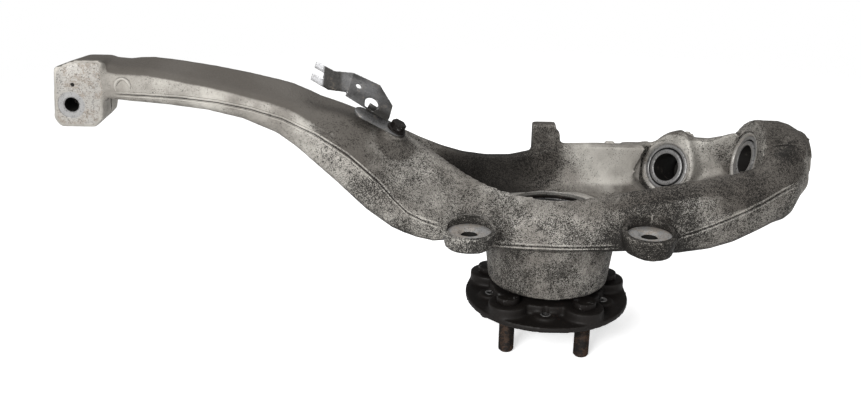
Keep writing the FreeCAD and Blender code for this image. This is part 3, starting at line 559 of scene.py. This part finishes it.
def settle(thing, body, slot, angle, *nodes):
    """Shade a finished piece, fix it to its body and hide the CAD nodes it stands for."""
    mesh = thing.data
    mesh.polygons.foreach_set("use_smooth", [True] * len(mesh.polygons))
    mesh.set_sharp_from_angle(angle=math.radians(angle))
    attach(thing, body)
    if nodes:
        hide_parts(*nodes)
    return thing


def dress(thing, pick, place=Matrix.Identity(4)):
    """Give each face of a mesh the finish that pick numbers for its middle, taken from a placement."""
    turn_back = place.inverted()
    for face in thing.data.polygons:
        face.material_index = pick(turn_back @ face.center)
    return thing


def in_mm(profile):
    """A profile's (radius, height) pairs turned from millimetres to metres."""
    return [(radius * MM, height * MM) for radius, height in profile]


def facing(spot, axis):
    """The placement of a thing turned so that its +Z runs along an axis from a spot."""
    turn = Vector(axis).to_track_quat("Z", "Y").to_matrix().to_4x4()
    return Matrix.Translation(spot) @ turn


def bevelled(profile, cut):
    """A profile's (radius, height) corners with each one cut by a small three-point round."""
    result = []
    count = len(profile)
    for number, corner in enumerate(profile):
        here = Vector(corner)
        back = Vector(profile[number - 1]) - here
        on = Vector(profile[(number + 1) % count]) - here
        if here.x == 0:
            result.append(tuple(here))
            continue
        reach = min(cut, back.length * 0.4, on.length * 0.4)
        start, end = here + back.normalized() * reach, here + on.normalized() * reach
        middle = (start + end) / 2 * 0.42 + here * 0.58
        result += [tuple(start), tuple(middle), tuple(end)]
    return result


def turned(name, profile, place, segments, *finishes):
    """A solid of revolution from a closed (radius, height) profile; points on the axis close it."""
    verts, rows = [], []
    for radius, height in profile:
        if radius == 0:
            rows.append([len(verts)] * segments)
            verts.append(place @ Vector((0, 0, height)))
            continue
        rows.append([])
        for step in range(segments):
            angle = 2 * math.pi * step / segments
            rows[-1].append(len(verts))
            verts.append(place @ Vector((radius * math.cos(angle), radius * math.sin(angle), height)))
    faces = []
    count = len(rows)
    for number in range(count):
        row, after = rows[number], rows[(number + 1) % count]
        if profile[number][0] == 0 and profile[(number + 1) % count][0] == 0:
            continue
        for step in range(segments):
            other = (step + 1) % segments
            corners = [row[step], row[other], after[other], after[step]]
            face = [spot for position, spot in enumerate(corners) if spot not in corners[:position]]
            faces.append(tuple(face))
    thing = new_mesh_object(name, verts, faces, *finishes)
    mesh = bmesh.new()
    mesh.from_mesh(thing.data)
    bmesh.ops.recalc_face_normals(mesh, faces=mesh.faces)
    mesh.to_mesh(thing.data)
    mesh.free()
    return thing


def stacked(name, rings, *finishes):
    """A closed mesh through equal rings of spots, with a flat face at each end."""
    count = len(rings[0])
    verts = [spot for ring in rings for spot in ring]
    faces = [(row + step, row + (step + 1) % count, row + count + (step + 1) % count, row + count + step)
             for row in range(0, len(verts) - count, count) for step in range(count)]
    faces += [tuple(reversed(range(count))), tuple(range(len(verts) - count, len(verts)))]
    return new_mesh_object(name, verts, faces, *finishes)


def block(name, corner, opposite, *finishes):
    """A box between two corners, used as a cutter."""
    spots = [Vector((x, y, z)) for x in (corner[0], opposite[0]) for y in (corner[1], opposite[1])
             for z in (corner[2], opposite[2])]
    faces = [(0, 1, 3, 2), (4, 6, 7, 5), (0, 4, 5, 1), (2, 3, 7, 6), (0, 2, 6, 4), (1, 5, 7, 3)]
    return new_mesh_object(name, spots, faces, *finishes)


def applied(thing):
    """Swap an object's mesh for its mesh with the modifiers worked in."""
    bpy.context.view_layer.update()
    seen = thing.evaluated_get(bpy.context.evaluated_depsgraph_get())
    mesh = bpy.data.meshes.new_from_object(seen)
    thing.modifiers.clear()
    thing.data = mesh
    return thing


def skin(name, node, cell, rounds, fillers=()):
    """A node's solid and its fillers melted into one even mesh with soft fillets."""
    union = bmesh.new()
    union.from_mesh(frame["nodes"][node].data)
    for filler in fillers:
        union.from_mesh(filler.data)
        bpy.data.objects.remove(filler)
    mesh = bpy.data.meshes.new(name)
    union.to_mesh(mesh)
    union.free()
    thing = bpy.data.objects.new(name, mesh)
    bpy.context.scene.collection.objects.link(thing)
    melt = thing.modifiers.new("Melt", "REMESH")
    melt.mode = "VOXEL"
    melt.voxel_size = cell
    if rounds:
        soft = thing.modifiers.new("Soften", "SMOOTH")
        soft.factor = 0.5
        soft.iterations = rounds
    applied(thing)
    thing.data.materials.clear()
    return thing


def cut_by(thing, cutters):
    """Cut crisp machined faces into a mesh; the new faces take the cutters' finishes."""
    tools = bpy.data.collections.new(thing.name + " cutters")
    bpy.context.scene.collection.children.link(tools)
    for cutter in cutters:
        bpy.context.scene.collection.objects.unlink(cutter)
        tools.objects.link(cutter)
    cut = thing.modifiers.new("Machine", "BOOLEAN")
    cut.operation = "DIFFERENCE"
    cut.operand_type = "COLLECTION"
    cut.collection = tools
    cut.solver = "EXACT"
    cut.material_mode = "TRANSFER"
    applied(thing)
    for cutter in cutters:
        bpy.data.objects.remove(cutter)
    bpy.data.collections.remove(tools)
    return thing


class KNUCKLE_OT_casting(bpy.types.Operator):
    """Cast body with soft fillets, its bored and spot-faced places cut crisp"""
    bl_idname = "knuckle.casting"
    bl_label = "Casting"

    def execute(self, context):
        given = sizes()
        up = Matrix.Identity(4)
        bore = machined_material("Machined bore", (0, 0, 0), (0, 0, 1), 0.25)
        wide = BEARING_RADIUS + MM
        fillers = [turned("fill bore", [(0, 22 * MM), (wide, 22 * MM), (wide, given.land_level),
                                        (0, given.land_level)], up, 96)]
        top = given.land_level + 40 * MM
        cutters = [turned("cut bore", [(0, 0), (SEAL_RADIUS, 0), (SEAL_RADIUS, BEARING_FOOT),
                                       (BEARING_RADIUS, BEARING_FOOT), (BEARING_RADIUS, top), (0, top)],
                          up, 128, bore)]
        for side in ("left", "right"):
            add_ear(side, fillers, cutters)
        for bush in ("side", "end"):
            cutters.append(bush_cutter(bush))
            fillers.append(bush_filler(bush))
        fillers.append(block("fill rear wall", *(Vector(corner) * MM for corner in REAR_WALL)))
        fillers.append(tube("fill boss shoulder", [Vector(spot) * MM for spot in BOSS_SHOULDER],
                            SHOULDER_RADIUS * MM))
        add_clamp(fillers, cutters)
        body = skin("cast_body", "knuckle_casting", given.skin_cell, given.skin_rounds, fillers)
        swell(body)
        body.data.materials.append(finish("Cast aluminium"))
        cut_by(body, cutters)
        settle(body, "knuckle", "cast", 38, "knuckle_casting")
        foot, level = given.land_level - 6 * MM, given.land_level + 0.2 * MM
        rim = turned("bore_land", bevelled([(BEARING_RADIUS, foot), (given.land_radius, foot),
                                            (given.land_radius, level), (BEARING_RADIUS, level)], 0.8 * MM),
                     up, 128, bore)
        settle(rim, "knuckle", "cast", 40)
        return {"FINISHED"}


def add_ear(side, fillers, cutters):
    """A caliper ear: its hole's filler, the thick rim round its pocket, and its hole and pocket cut."""
    given = sizes()
    centre, hole = mount_spot(f"caliper_ear_{side}"), mount_radius(f"caliper_ear_{side}")
    spot = Matrix.Translation((centre.x, centre.y, EAR_FACE))
    steel = machined_material(f"Spot face {side}", (centre.x, centre.y, 0), (0, 0, 1), 0.55, "steel")
    inner = given.spot_radius - MM
    fillers.append(turned("fill ear", [(0, -11 * MM), (hole + MM, -11 * MM), (hole + MM, -3 * MM),
                                       (inner, -3 * MM), (inner, 0.8 * MM), (0, 0.8 * MM)], spot, 64))
    reach, drop = given.spot_radius + COLLAR_WIDTH, COLLAR_DROP[side]
    collar = turned("fill collar", [(0, -drop), (reach - 3 * MM, -drop), (reach, 0), (0, 0)], spot, 64)
    # The rim is low in front and rises to the wall behind it
    front = 6 * MM
    for vertex in collar.data.vertices:
        if vertex.co.z > EAR_FACE - MM:
            behind = (vertex.co.y - centre.y + front) / (reach + front)
            vertex.co.z += COLLAR_LIFT + COLLAR_BACK_LIFT * max(0, behind)
    fillers.append(collar)
    cutter = turned("cut ear", [(0, -40 * MM), (hole, -40 * MM), (hole, -EAR_BEVEL), (hole + EAR_BEVEL, 0),
                                (given.spot_radius, 0), (given.spot_radius, POCKET_HEIGHT),
                                (0, POCKET_HEIGHT)], spot, 96, steel, finish("Cast aluminium"),
                    finish("Painted shade"))
    # The hole's wall below its bevel takes the near-black painted shade
    cutters.append(dress(cutter, lambda middle: 1 if middle.z > EAR_BEVEL
                         else 2 if middle.z < -EAR_BEVEL else 0, spot))


def add_clamp(fillers, cutters):
    """The clamp block's bolt hole with its witness ring, its milled front, ball stud bore and slot."""
    pinch, hole = mount_spot("pinch_bolt_hole"), mount_radius("pinch_bolt_hole")
    end = low("knuckle_casting").x - 9 * MM
    out = facing(Vector((pinch.x, BLOCK_FRONT, pinch.z)), (0, -1, 0))
    seat = machined_material("Clamp face", (pinch.x, 0, pinch.z), (0, -1, 0), 0.50)
    ring = machined_material("Clamp ring", (pinch.x, 0, pinch.z), (0, -1, 0), 0.12, "steel")
    fillers.append(turned("fill pinch", [(0, -44 * MM), (hole + MM, -44 * MM), (hole + MM, 0.4 * MM),
                                         (0, 0.4 * MM)], out, 48))
    bevel = 1.6 * MM
    cutter = turned("cut pinch", [(0, -90 * MM), (hole, -90 * MM), (hole, -bevel),
                                  (hole + 0.9 * MM, -bevel / 2), (CLAMP_RING, -bevel / 2),
                                  (CLAMP_RING, 9 * MM), (0, 9 * MM)], out, 72, ring, finish("Painted shade"))
    # The bolt hole's wall below its bevel takes the near-black painted shade
    cutters.append(dress(cutter, lambda middle: int(middle.z < -bevel), out))
    cutters.append(block("cut block face", (end, BLOCK_FRONT - 20 * MM, 0.14),
                         (end + 69 * MM, BLOCK_FRONT + 0.25 * MM, 0.24), seat))
    ball, stud = mount_spot("ball_stud_bore"), mount_radius("ball_stud_bore")
    cutters.append(turned("cut ball stud", [(0, -22 * MM), (stud, -22 * MM), (stud, 40 * MM), (0, 40 * MM)],
                          facing(ball, (-1, 0, 0)), 64, seat))
    half_slot = 1.25 * MM
    cutters.append(block("cut slot", (end, -half_slot, 0.15), (ball.x + 22 * MM, half_slot, ball.z), seat))


def bush_mouth(bush):
    """The placement of a bush's mouth, +Z out of it, with the sleeve's end just below."""
    name = f"{bush}_bush_bore"
    out = mount_axis(name)
    return facing(mount_spot(name) + out * (mount_length(name) / 2 + 0.4 * MM), out)


def bush_cutter(bush):
    """A cutter for a bush's bored seat, the bolt hole behind it and the faced ring and view before it."""
    given = sizes()
    seat, face, view = given.seat_radius, given.face_radius, BUSH_VIEW[bush]
    place = bush_mouth(bush)
    cut = machined_material(f"Bush seat {bush}", place.translation, mount_axis(f"{bush}_bush_bore"), 0.35)
    ring, bolt = seat + SEAT_RIM, 8 * MM
    cutter = turned("cut bush", [(0, -80 * MM), (bolt, -80 * MM), (bolt, -BUSH_LENGTH), (seat, -BUSH_LENGTH),
                                 (seat, -SEAT_BEVEL), (seat + SEAT_BEVEL, 0), (ring, 0), (face, 0),
                                 (face, view), (0, view)], place, 96, cut, finish("Cast aluminium"),
                    finish("Painted shade"))
    # The bolt hole beyond the seat takes the near-black painted shade
    return dress(cutter, lambda middle: 2 if middle.z < -SEAT_LIT else
                 int(middle.z > MM or middle.xy.length > ring and middle.z > -MM), place)


def bush_filler(bush):
    """A filler that makes a bush's boss solid up to its faced ring before the bush is bored."""
    seat, face = sizes().seat_radius + MM, sizes().face_radius - MM
    return turned("fill bush", [(0, -46 * MM), (seat, -46 * MM), (seat, -3 * MM), (face, -3 * MM),
                                (face, 0.6 * MM), (0, 0.6 * MM)], bush_mouth(bush), 64)


def along(table, x):
    """The value of a table of (x, value) pairs at x, level beyond its ends."""
    if x <= table[0][0]:
        return table[0][1]
    for (x0, v0), (x1, v1) in zip(table, table[1:]):
        if x <= x1:
            return v0 + (v1 - v0) * (x - x0) / (x1 - x0)
    return table[-1][1]


def ease(value):
    """A smooth step from 0 to 1."""
    share = min(1.0, max(0.0, value))
    return share * share * (3 - 2 * share)


def swell(body):
    """Deepen the belly and the lower arm's foot, and raise the arm's back and the rear wall's top."""
    for vertex in body.data.vertices:
        x, y, z = vertex.co / MM
        over_arm, over_end = z - along(PARTING_ARM, x), z - along(PARTING_END, x)
        over_rear = ease((z - REAR_LEVEL) / REAR_FADE) * ease(y / REAR_FRONT)
        under_end = ease(-over_end / SAG_FADE) * ease((REAR_FRONT - y) / REAR_FRONT)
        shift = (along(ARM_RISE, x) * ease(over_arm / RISE_FADE) + along(REAR_RISE, x) * over_rear
                 - along(ARM_SAG, x) * ease(-over_arm / SAG_FADE) - along(END_SAG, x) * under_end)
        vertex.co.z += shift * MM


def front_hit(tree, x, z):
    """The spot on the front of a skin straight behind a point in the row frame."""
    return tree.ray_cast(Vector((x, -0.2, z)), Vector((0, 1, 0)))[0]


def top_hit(tree, x, y):
    """The spot on the top of a skin straight below a point in the row frame."""
    return tree.ray_cast(Vector((x, y, 0.3)), Vector((0, 0, -1)))[0]


def tube(name, path, radius, *finishes):
    """A thin round bead along a path that tapers into the surface at both ends."""
    sides, rings, last = 8, [], len(path) - 1
    for number, spot in enumerate(path):
        ahead = path[min(number + 1, last)] - path[max(number - 1, 0)]
        turn = ahead.to_track_quat("Z", "Y").to_matrix()
        taper = min(1.0, 0.15 + min(number, last - number) / 4)
        angles = [2 * math.pi * side / sides for side in range(sides)]
        rings.append([spot + turn @ (Vector((math.cos(angle), math.sin(angle), 0)) * radius * taper)
                      for angle in angles])
    return stacked(name, rings, *finishes)


def smooth_route(points, step):
    """Even steps along the straight runs of a route of (x, z) points."""
    route = []
    for (x0, z0), (x1, z1) in zip(points, points[1:]):
        parts = max(1, round(math.hypot(x1 - x0, z1 - z0) / step))
        route += [(x0 + (x1 - x0) * part / parts, z0 + (z1 - z0) * part / parts) for part in range(parts)]
    route.append(points[-1])
    return route


class KNUCKLE_OT_marks(bpy.types.Operator):
    """Parting line, cast arch, nubs, pits and crease on the casting's skin"""
    bl_idname = "knuckle.marks"
    bl_label = "Cast marks"

    def execute(self, context):
        given = sizes()
        body = bpy.data.objects["cast_body"]
        tree = BVHTree.FromObject(body, bpy.context.evaluated_depsgraph_get())
        # painted_shade: the near-black finish laid into grooves, pits and creases as painted shade
        cast, painted_shade = finish("Cast aluminium"), finish("Painted shade")

        def mark(thing):
            settle(thing, "knuckle", "cast", 60)

        # Each parting line is two cast ridges with a thin near-black groove between them as painted shade
        for name, points in (("arm", PARTING_ARM), ("foot", PARTING_FOOT), ("end", PARTING_END)):
            for half, way, inset, radius, look in (("upper", 0.5, 0.1 * MM, given.ridge_radius, cast),
                                                   ("lower", -0.5, 0.1 * MM, given.ridge_radius, cast),
                                                   ("groove", 0, 0, given.ridge_radius * 0.5, painted_shade)):
                hits = [front_hit(tree, x * MM, z * MM + way * given.ridge_gap)
                        for x, z in smooth_route(points, 3.0)]
                path = [hit + Vector((0, inset, 0)) for hit in hits if hit is not None]
                mark(tube(f"parting_{name}_{half}", path, radius, look))
        arch = []
        for step in range(15):
            angle = math.radians(200 - 220 * step / 14)
            hit = front_hit(tree, (ARCH_CENTRE[0] + ARCH_REACH[0] * math.cos(angle)) * MM,
                            (ARCH_CENTRE[1] + ARCH_REACH[1] * math.sin(angle)) * MM)
            if hit is not None:
                arch.append(hit)
        mark(tube("cast_arch", arch, ARCH_RADIUS * MM, cast))
        for number, (x, y) in enumerate(NUBS):
            place = Matrix.Translation(top_hit(tree, x * MM, y * MM))
            mark(turned(f"cast_nub_{number}", in_mm(NUB_PROFILE), place, 24, cast))
        # Each pit is a small near-black bead, painted shade in the pit
        for number, spot in enumerate(PITS):
            place = facing(Vector(spot) * MM, (0, -1, 0))
            mark(turned(f"cast_pit_{number}", in_mm(PIT_PROFILE), place, 20, painted_shade))
        # The crease is a near-black bead, painted shade in the crease
        crease = [top_hit(tree, x * MM, y * MM) for x, y in CREASE]
        mark(tube("end_crease", crease, CREASE_RADIUS * MM, painted_shade))
        return {"FINISHED"}


def circle_spots(radius, lag=0.0):
    """The hub's five spots on a circle, turned on by a share of the step between two of them."""
    for number in range(STUD_COUNT):
        angle = math.radians(STUD_CLOCKING + 360 / STUD_COUNT * (number + lag) - 90)
        yield Vector((radius * math.cos(angle), radius * math.sin(angle), 0))


class KNUCKLE_OT_hub(bpy.types.Operator):
    """Forged and turned wheel hub with drilled holes and a splined bore"""
    bl_idname = "knuckle.hub"
    bl_label = "Wheel hub"

    def execute(self, context):
        given = sizes()
        body = skin("forged_hub", "wheel_hub", given.hub_cell, 7)
        body.data.materials.append(finish("Hub oxide"))
        cutters = [turned("cut screw", [(0, -3 * MM), (SCREW_RADIUS, -3 * MM), (SCREW_RADIUS, 30 * MM),
                                        (0, 30 * MM)], Matrix.Translation(spot), 32, finish("Hub oxide"))
                   for spot in circle_spots(SCREW_CIRCLE)]
        teeth, depth, rings = 32, 1.5 * MM, []
        for level in (-4 * MM, BEARING_TOP + 4 * MM):
            rings.append([])
            for step in range(teeth * 4):
                angle = 2 * math.pi * step / (teeth * 4)
                radius = SPLINE_RADIUS + (depth if step % 4 < 2 else 0)
                rings[-1].append(Vector((radius * math.cos(angle), radius * math.sin(angle), level)))
        cutters.append(stacked("cut spline", rings, finish("Turned steel")))
        cut_by(body, cutters)
        settle(body, "hub", "hub", 35, "wheel_hub")
        foot, top, rim = 5 * MM, 8.1 * MM, SCREW_RADIUS + 1.3 * MM
        ring = bevelled([(SCREW_RADIUS, foot), (rim, foot), (rim, top), (SCREW_RADIUS, top)], 0.4 * MM)
        for number, spot in enumerate(circle_spots(SCREW_CIRCLE)):
            edge = turned(f"screw_edge_{number}", ring, Matrix.Translation(spot), 32, finish("Turned steel"))
            settle(edge, "hub", "hub", 40)
        return {"FINISHED"}


class KNUCKLE_OT_studs(bpy.types.Operator):
    """Wheel studs with cut threads and rounded heads"""
    bl_idname = "knuckle.studs"
    bl_label = "Wheel studs"

    def execute(self, context):
        given = sizes()
        segments, rows_per_turn = 36, 6
        group = bmesh.new()
        head_foot = STUD_TOP - 6 * MM
        for spot in circle_spots(STUD_CIRCLE, 0.5):
            place = Matrix.Translation(spot)
            head = turned("head", bevelled([(0, head_foot - 3 * MM), (7.6 * MM, head_foot - 3 * MM),
                                            (7.6 * MM, head_foot), (10.2 * MM, head_foot),
                                            (10.2 * MM, STUD_TOP), (0, STUD_TOP)], 1.1 * MM), place, 48)
            group.from_mesh(head.data)
            bpy.data.objects.remove(head)
            start, end = STUD_FOOT, 1.5 * MM
            rows = int((end - start) / given.thread_pitch * rows_per_turn)
            rings = []
            for row in range(rows + 1):
                level = start + (end - start) * row / rows
                point = min(1.0, (level - start) / (1.6 * MM))
                rings.append([])
                for step in range(segments):
                    turn = step / segments
                    phase = ((level - start) / given.thread_pitch - turn) % 1.0
                    depth = given.thread_depth * abs(2 * phase - 1)
                    radius = (STUD_RADIUS - depth) * (0.80 + 0.20 * point)
                    angle = 2 * math.pi * turn
                    across, deep = radius * math.cos(angle), radius * math.sin(angle)
                    rings[-1].append(spot + Vector((across, deep, level)))
            thread = stacked("thread", rings)
            group.from_mesh(thread.data)
            bpy.data.objects.remove(thread)
        mesh = bpy.data.meshes.new("stud_set")
        group.to_mesh(mesh)
        group.free()
        mesh.materials.append(finish("Rusty stud"))
        mesh.materials.append(finish("Stud head"))
        studs = bpy.data.objects.new("stud_set", mesh)
        dress(studs, lambda middle: int(middle.z > head_foot - 3 * MM))
        bpy.context.scene.collection.objects.link(studs)
        settle(studs, "hub", "stud", 40, "wheel_studs")
        return {"FINISHED"}


class KNUCKLE_OT_bushes(bpy.types.Operator):
    """Pressed-in bushes: rolled steel shell, bonded rubber and bored sleeve"""
    bl_idname = "knuckle.bushes"
    bl_label = "Bushes"

    def execute(self, context):
        seat = sizes().seat_radius
        inner, bore = seat - BUSH_WALL, mount_radius("side_bush_bore")
        outer, near_end, far_end = seat - 0.03 * MM, -1.2 * MM, -39.2 * MM
        lip = near_end - SEAT_BEVEL
        for bush in ("side", "end"):
            place = bush_mouth(bush)
            shell = turned(f"{bush}_shell", bevelled([(inner, near_end), (outer, near_end), (outer, far_end),
                                                      (inner, far_end)], 0.9 * MM),
                           place, 96, finish("Turned steel"))
            settle(shell, "knuckle", "shell", 45, f"{bush}_bush_shell")
            rubber = turned(f"{bush}_rubber", [
                (SLEEVE_RADIUS - 0.1 * MM, near_end - 2.2 * MM), (SLEEVE_RADIUS + 0.3 * MM, lip),
                ((SLEEVE_RADIUS + inner) / 2, lip - 0.9 * MM), (inner - 0.2 * MM, lip),
                (inner + 0.1 * MM, near_end - 2.2 * MM), (inner + 0.1 * MM, far_end + 2 * MM),
                (SLEEVE_RADIUS - 0.1 * MM, far_end + 2 * MM)], place, 96, finish("Black rubber"))
            settle(rubber, "knuckle", "seal", 60, f"{bush}_bush_rubber")
            profile = [(bore, -0.4 * MM), (SLEEVE_RADIUS, -0.4 * MM), (SLEEVE_RADIUS, -BUSH_LENGTH),
                       (bore, -BUSH_LENGTH)]
            ring = turned(f"{bush}_sleeve", bevelled(profile, 1.0 * MM), place, 96, finish("Turned steel"),
                          finish("Painted shade"))
            # The sleeve's bore takes the near-black painted shade
            wall = bore + 0.4 * MM
            dress(ring, lambda middle: int(middle.xy.length < wall and middle.z < -SEAT_BEVEL), place)
            settle(ring, "knuckle", "shell", 45, f"{bush}_bush_sleeve")
        return {"FINISHED"}


class KNUCKLE_OT_bracket(bpy.types.Operator):
    """Folded line bracket with its flanged bolt"""
    bl_idname = "knuckle.bracket"
    bl_label = "Line bracket"

    def execute(self, context):
        given = sizes()
        sheet = skin("bracket_skin", "line_bracket", given.sheet_cell, 3)
        sheet.data.materials.append(finish("Zinc plate"))
        settle(sheet, "knuckle", "zinc", 60, "line_bracket")
        bolt = skin("bolt_skin", "bracket_bolt", given.sheet_cell * 0.8, 2)
        bolt.data.materials.append(finish("Stud head"))
        settle(bolt, "knuckle", "zinc", 60, "bracket_bolt")
        return {"FINISHED"}


class KNUCKLE_OT_bearing(bpy.types.Operator):
    """Finishes for the bearing's rings, rollers, cages, seals and snap ring"""
    bl_idname = "knuckle.bearing"
    bl_label = "Bearing"

    def execute(self, context):
        wear = {
            "Ground steel": ("bearing_outer_ring", "bearing_outboard_cone", "bearing_inboard_cone",
                             "outboard_rollers", "inboard_rollers"),
            "Moulded cage": ("outboard_cage", "inboard_cage"),
            "Black rubber": ("inboard_seal", "outboard_seal"),
            "Spring steel": ("bearing_circlip",),
        }
        for name, nodes in wear.items():
            for node in nodes:
                thing = frame["nodes"][node]
                thing.data.materials.clear()
                thing.data.materials.append(finish(name))
        return {"FINISHED"}


def lamp(name, spot, target, span, power):
    light = bpy.data.lights.new(name, "AREA")
    light.shape = "RECTANGLE"
    light.size, light.size_y = span
    light.energy = power
    thing = bpy.data.objects.new(name, light)
    bpy.context.scene.collection.objects.link(thing)
    thing.location = spot
    thing.rotation_euler = (Vector(target) - Vector(spot)).to_track_quat("-Z", "Y").to_euler()
    return thing


class KNUCKLE_OT_stage(bpy.types.Operator):
    """Pale floor, soft studio light and the camera"""
    bl_idname = "knuckle.stage"
    bl_label = "Stage"

    def execute(self, context):
        scene = bpy.context.scene
        scene.view_settings.view_transform = "Standard"
        reach, level = 6.0, STUD_FOOT - 0.3 * MM
        corners = [(x * reach, y * reach, level) for x, y in ((-1, -1), (1, -1), (1, 1), (-1, 1))]
        floor = new_mesh_object("floor", corners, [(0, 1, 2, 3)])
        made, graph, shader, place = material("Pale floor")
        rays = graph.add("ShaderNodeLightPath").outputs
        edge = graph.add("ShaderNodeVectorMath", {"operation": "LENGTH"}, i0=place).outputs["Value"]
        graph.feed(shader, Base_Color=rgba("floor"), Roughness=0.9, Specular_IOR_Level=0.0,
                   Emission_Color=(1, 1, 1, 1),
                   Emission_Strength=graph.math("MULTIPLY", rays["Is Camera Ray"], 0.62),
                   Alpha=graph.spread(edge, 0.55, 1.3, 1.0, 0.0))
        floor.data.materials.append(made)

        world = bpy.data.worlds.new("Studio")
        scene.world = world
        world.use_nodes = True
        graph = Graph(world.node_tree)
        world.node_tree.nodes.clear()
        path = graph.add("ShaderNodeLightPath").outputs
        strength = graph.spread(path["Is Camera Ray"], 0.0, 1.0, 0.24, 1.0)
        light = graph.add("ShaderNodeBackground", Color=(1, 1, 1, 1), Strength=strength)
        graph.add("ShaderNodeOutputWorld", Surface=light.outputs[0])

        centre = (-0.06, 0, 0.09)
        lamp("key", (-0.85, -1.6, 0.95), centre, (0.8, 0.6), 36)
        lamp("fill", (1.3, -1.1, 0.6), centre, (1.2, 1.0), 5)
        lamp("top", (0.1, 0.6, 1.6), centre, (1.2, 0.8), 12)

        camera = bpy.data.objects.new("camera", bpy.data.cameras.new("camera"))
        scene.collection.objects.link(camera)
        camera.data.lens = sizes().lens
        camera.data.clip_start = 0.01
        pitch, roll = math.radians(90 - 21.06), math.radians(0.94)
        camera.matrix_world = (Matrix.Translation((-0.1088, -0.8432, 0.4116))
                               @ Matrix.Rotation(pitch, 4, "X") @ Matrix.Rotation(roll, 4, "Z"))
        scene.camera = camera
        return {"FINISHED"}


class KNUCKLE_PT_panel(bpy.types.Panel):
    """Lists the knuckle's sizes, colours and steps"""
    bl_idname = "KNUCKLE_PT_panel"
    bl_label = "Steering Knuckle"
    bl_space_type = "VIEW_3D"
    bl_region_type = "UI"
    bl_category = "Knuckle"

    def draw(self, context):
        for group in (context.scene.knuckle_sizes, context.scene.knuckle_colours):
            box = self.layout.box()
            for name in group.__annotations__:
                box.prop(group, name)
        for step in STEPS:
            self.layout.operator(step.bl_idname)


STEPS = (KNUCKLE_OT_casting, KNUCKLE_OT_marks, KNUCKLE_OT_hub, KNUCKLE_OT_studs, KNUCKLE_OT_bushes,
         KNUCKLE_OT_bracket, KNUCKLE_OT_bearing, KNUCKLE_OT_stage)
CLASSES = (KnuckleSizes, KnuckleColours, *STEPS, KNUCKLE_PT_panel)


def register():
    for made in CLASSES:
        bpy.utils.register_class(made)
    bpy.types.Scene.knuckle_sizes = PointerProperty(type=KnuckleSizes)
    bpy.types.Scene.knuckle_colours = PointerProperty(type=KnuckleColours)


def unregister():
    del bpy.types.Scene.knuckle_sizes
    del bpy.types.Scene.knuckle_colours
    for made in reversed(CLASSES):
        bpy.utils.unregister_class(made)


def main():
    register()
    bpy.ops.knuckle.casting()
    bpy.ops.knuckle.marks()
    bpy.ops.knuckle.hub()
    bpy.ops.knuckle.studs()
    bpy.ops.knuckle.bushes()
    bpy.ops.knuckle.bracket()
    bpy.ops.knuckle.bearing()
    bpy.ops.knuckle.stage()


if __name__ == "__main__":
    main()
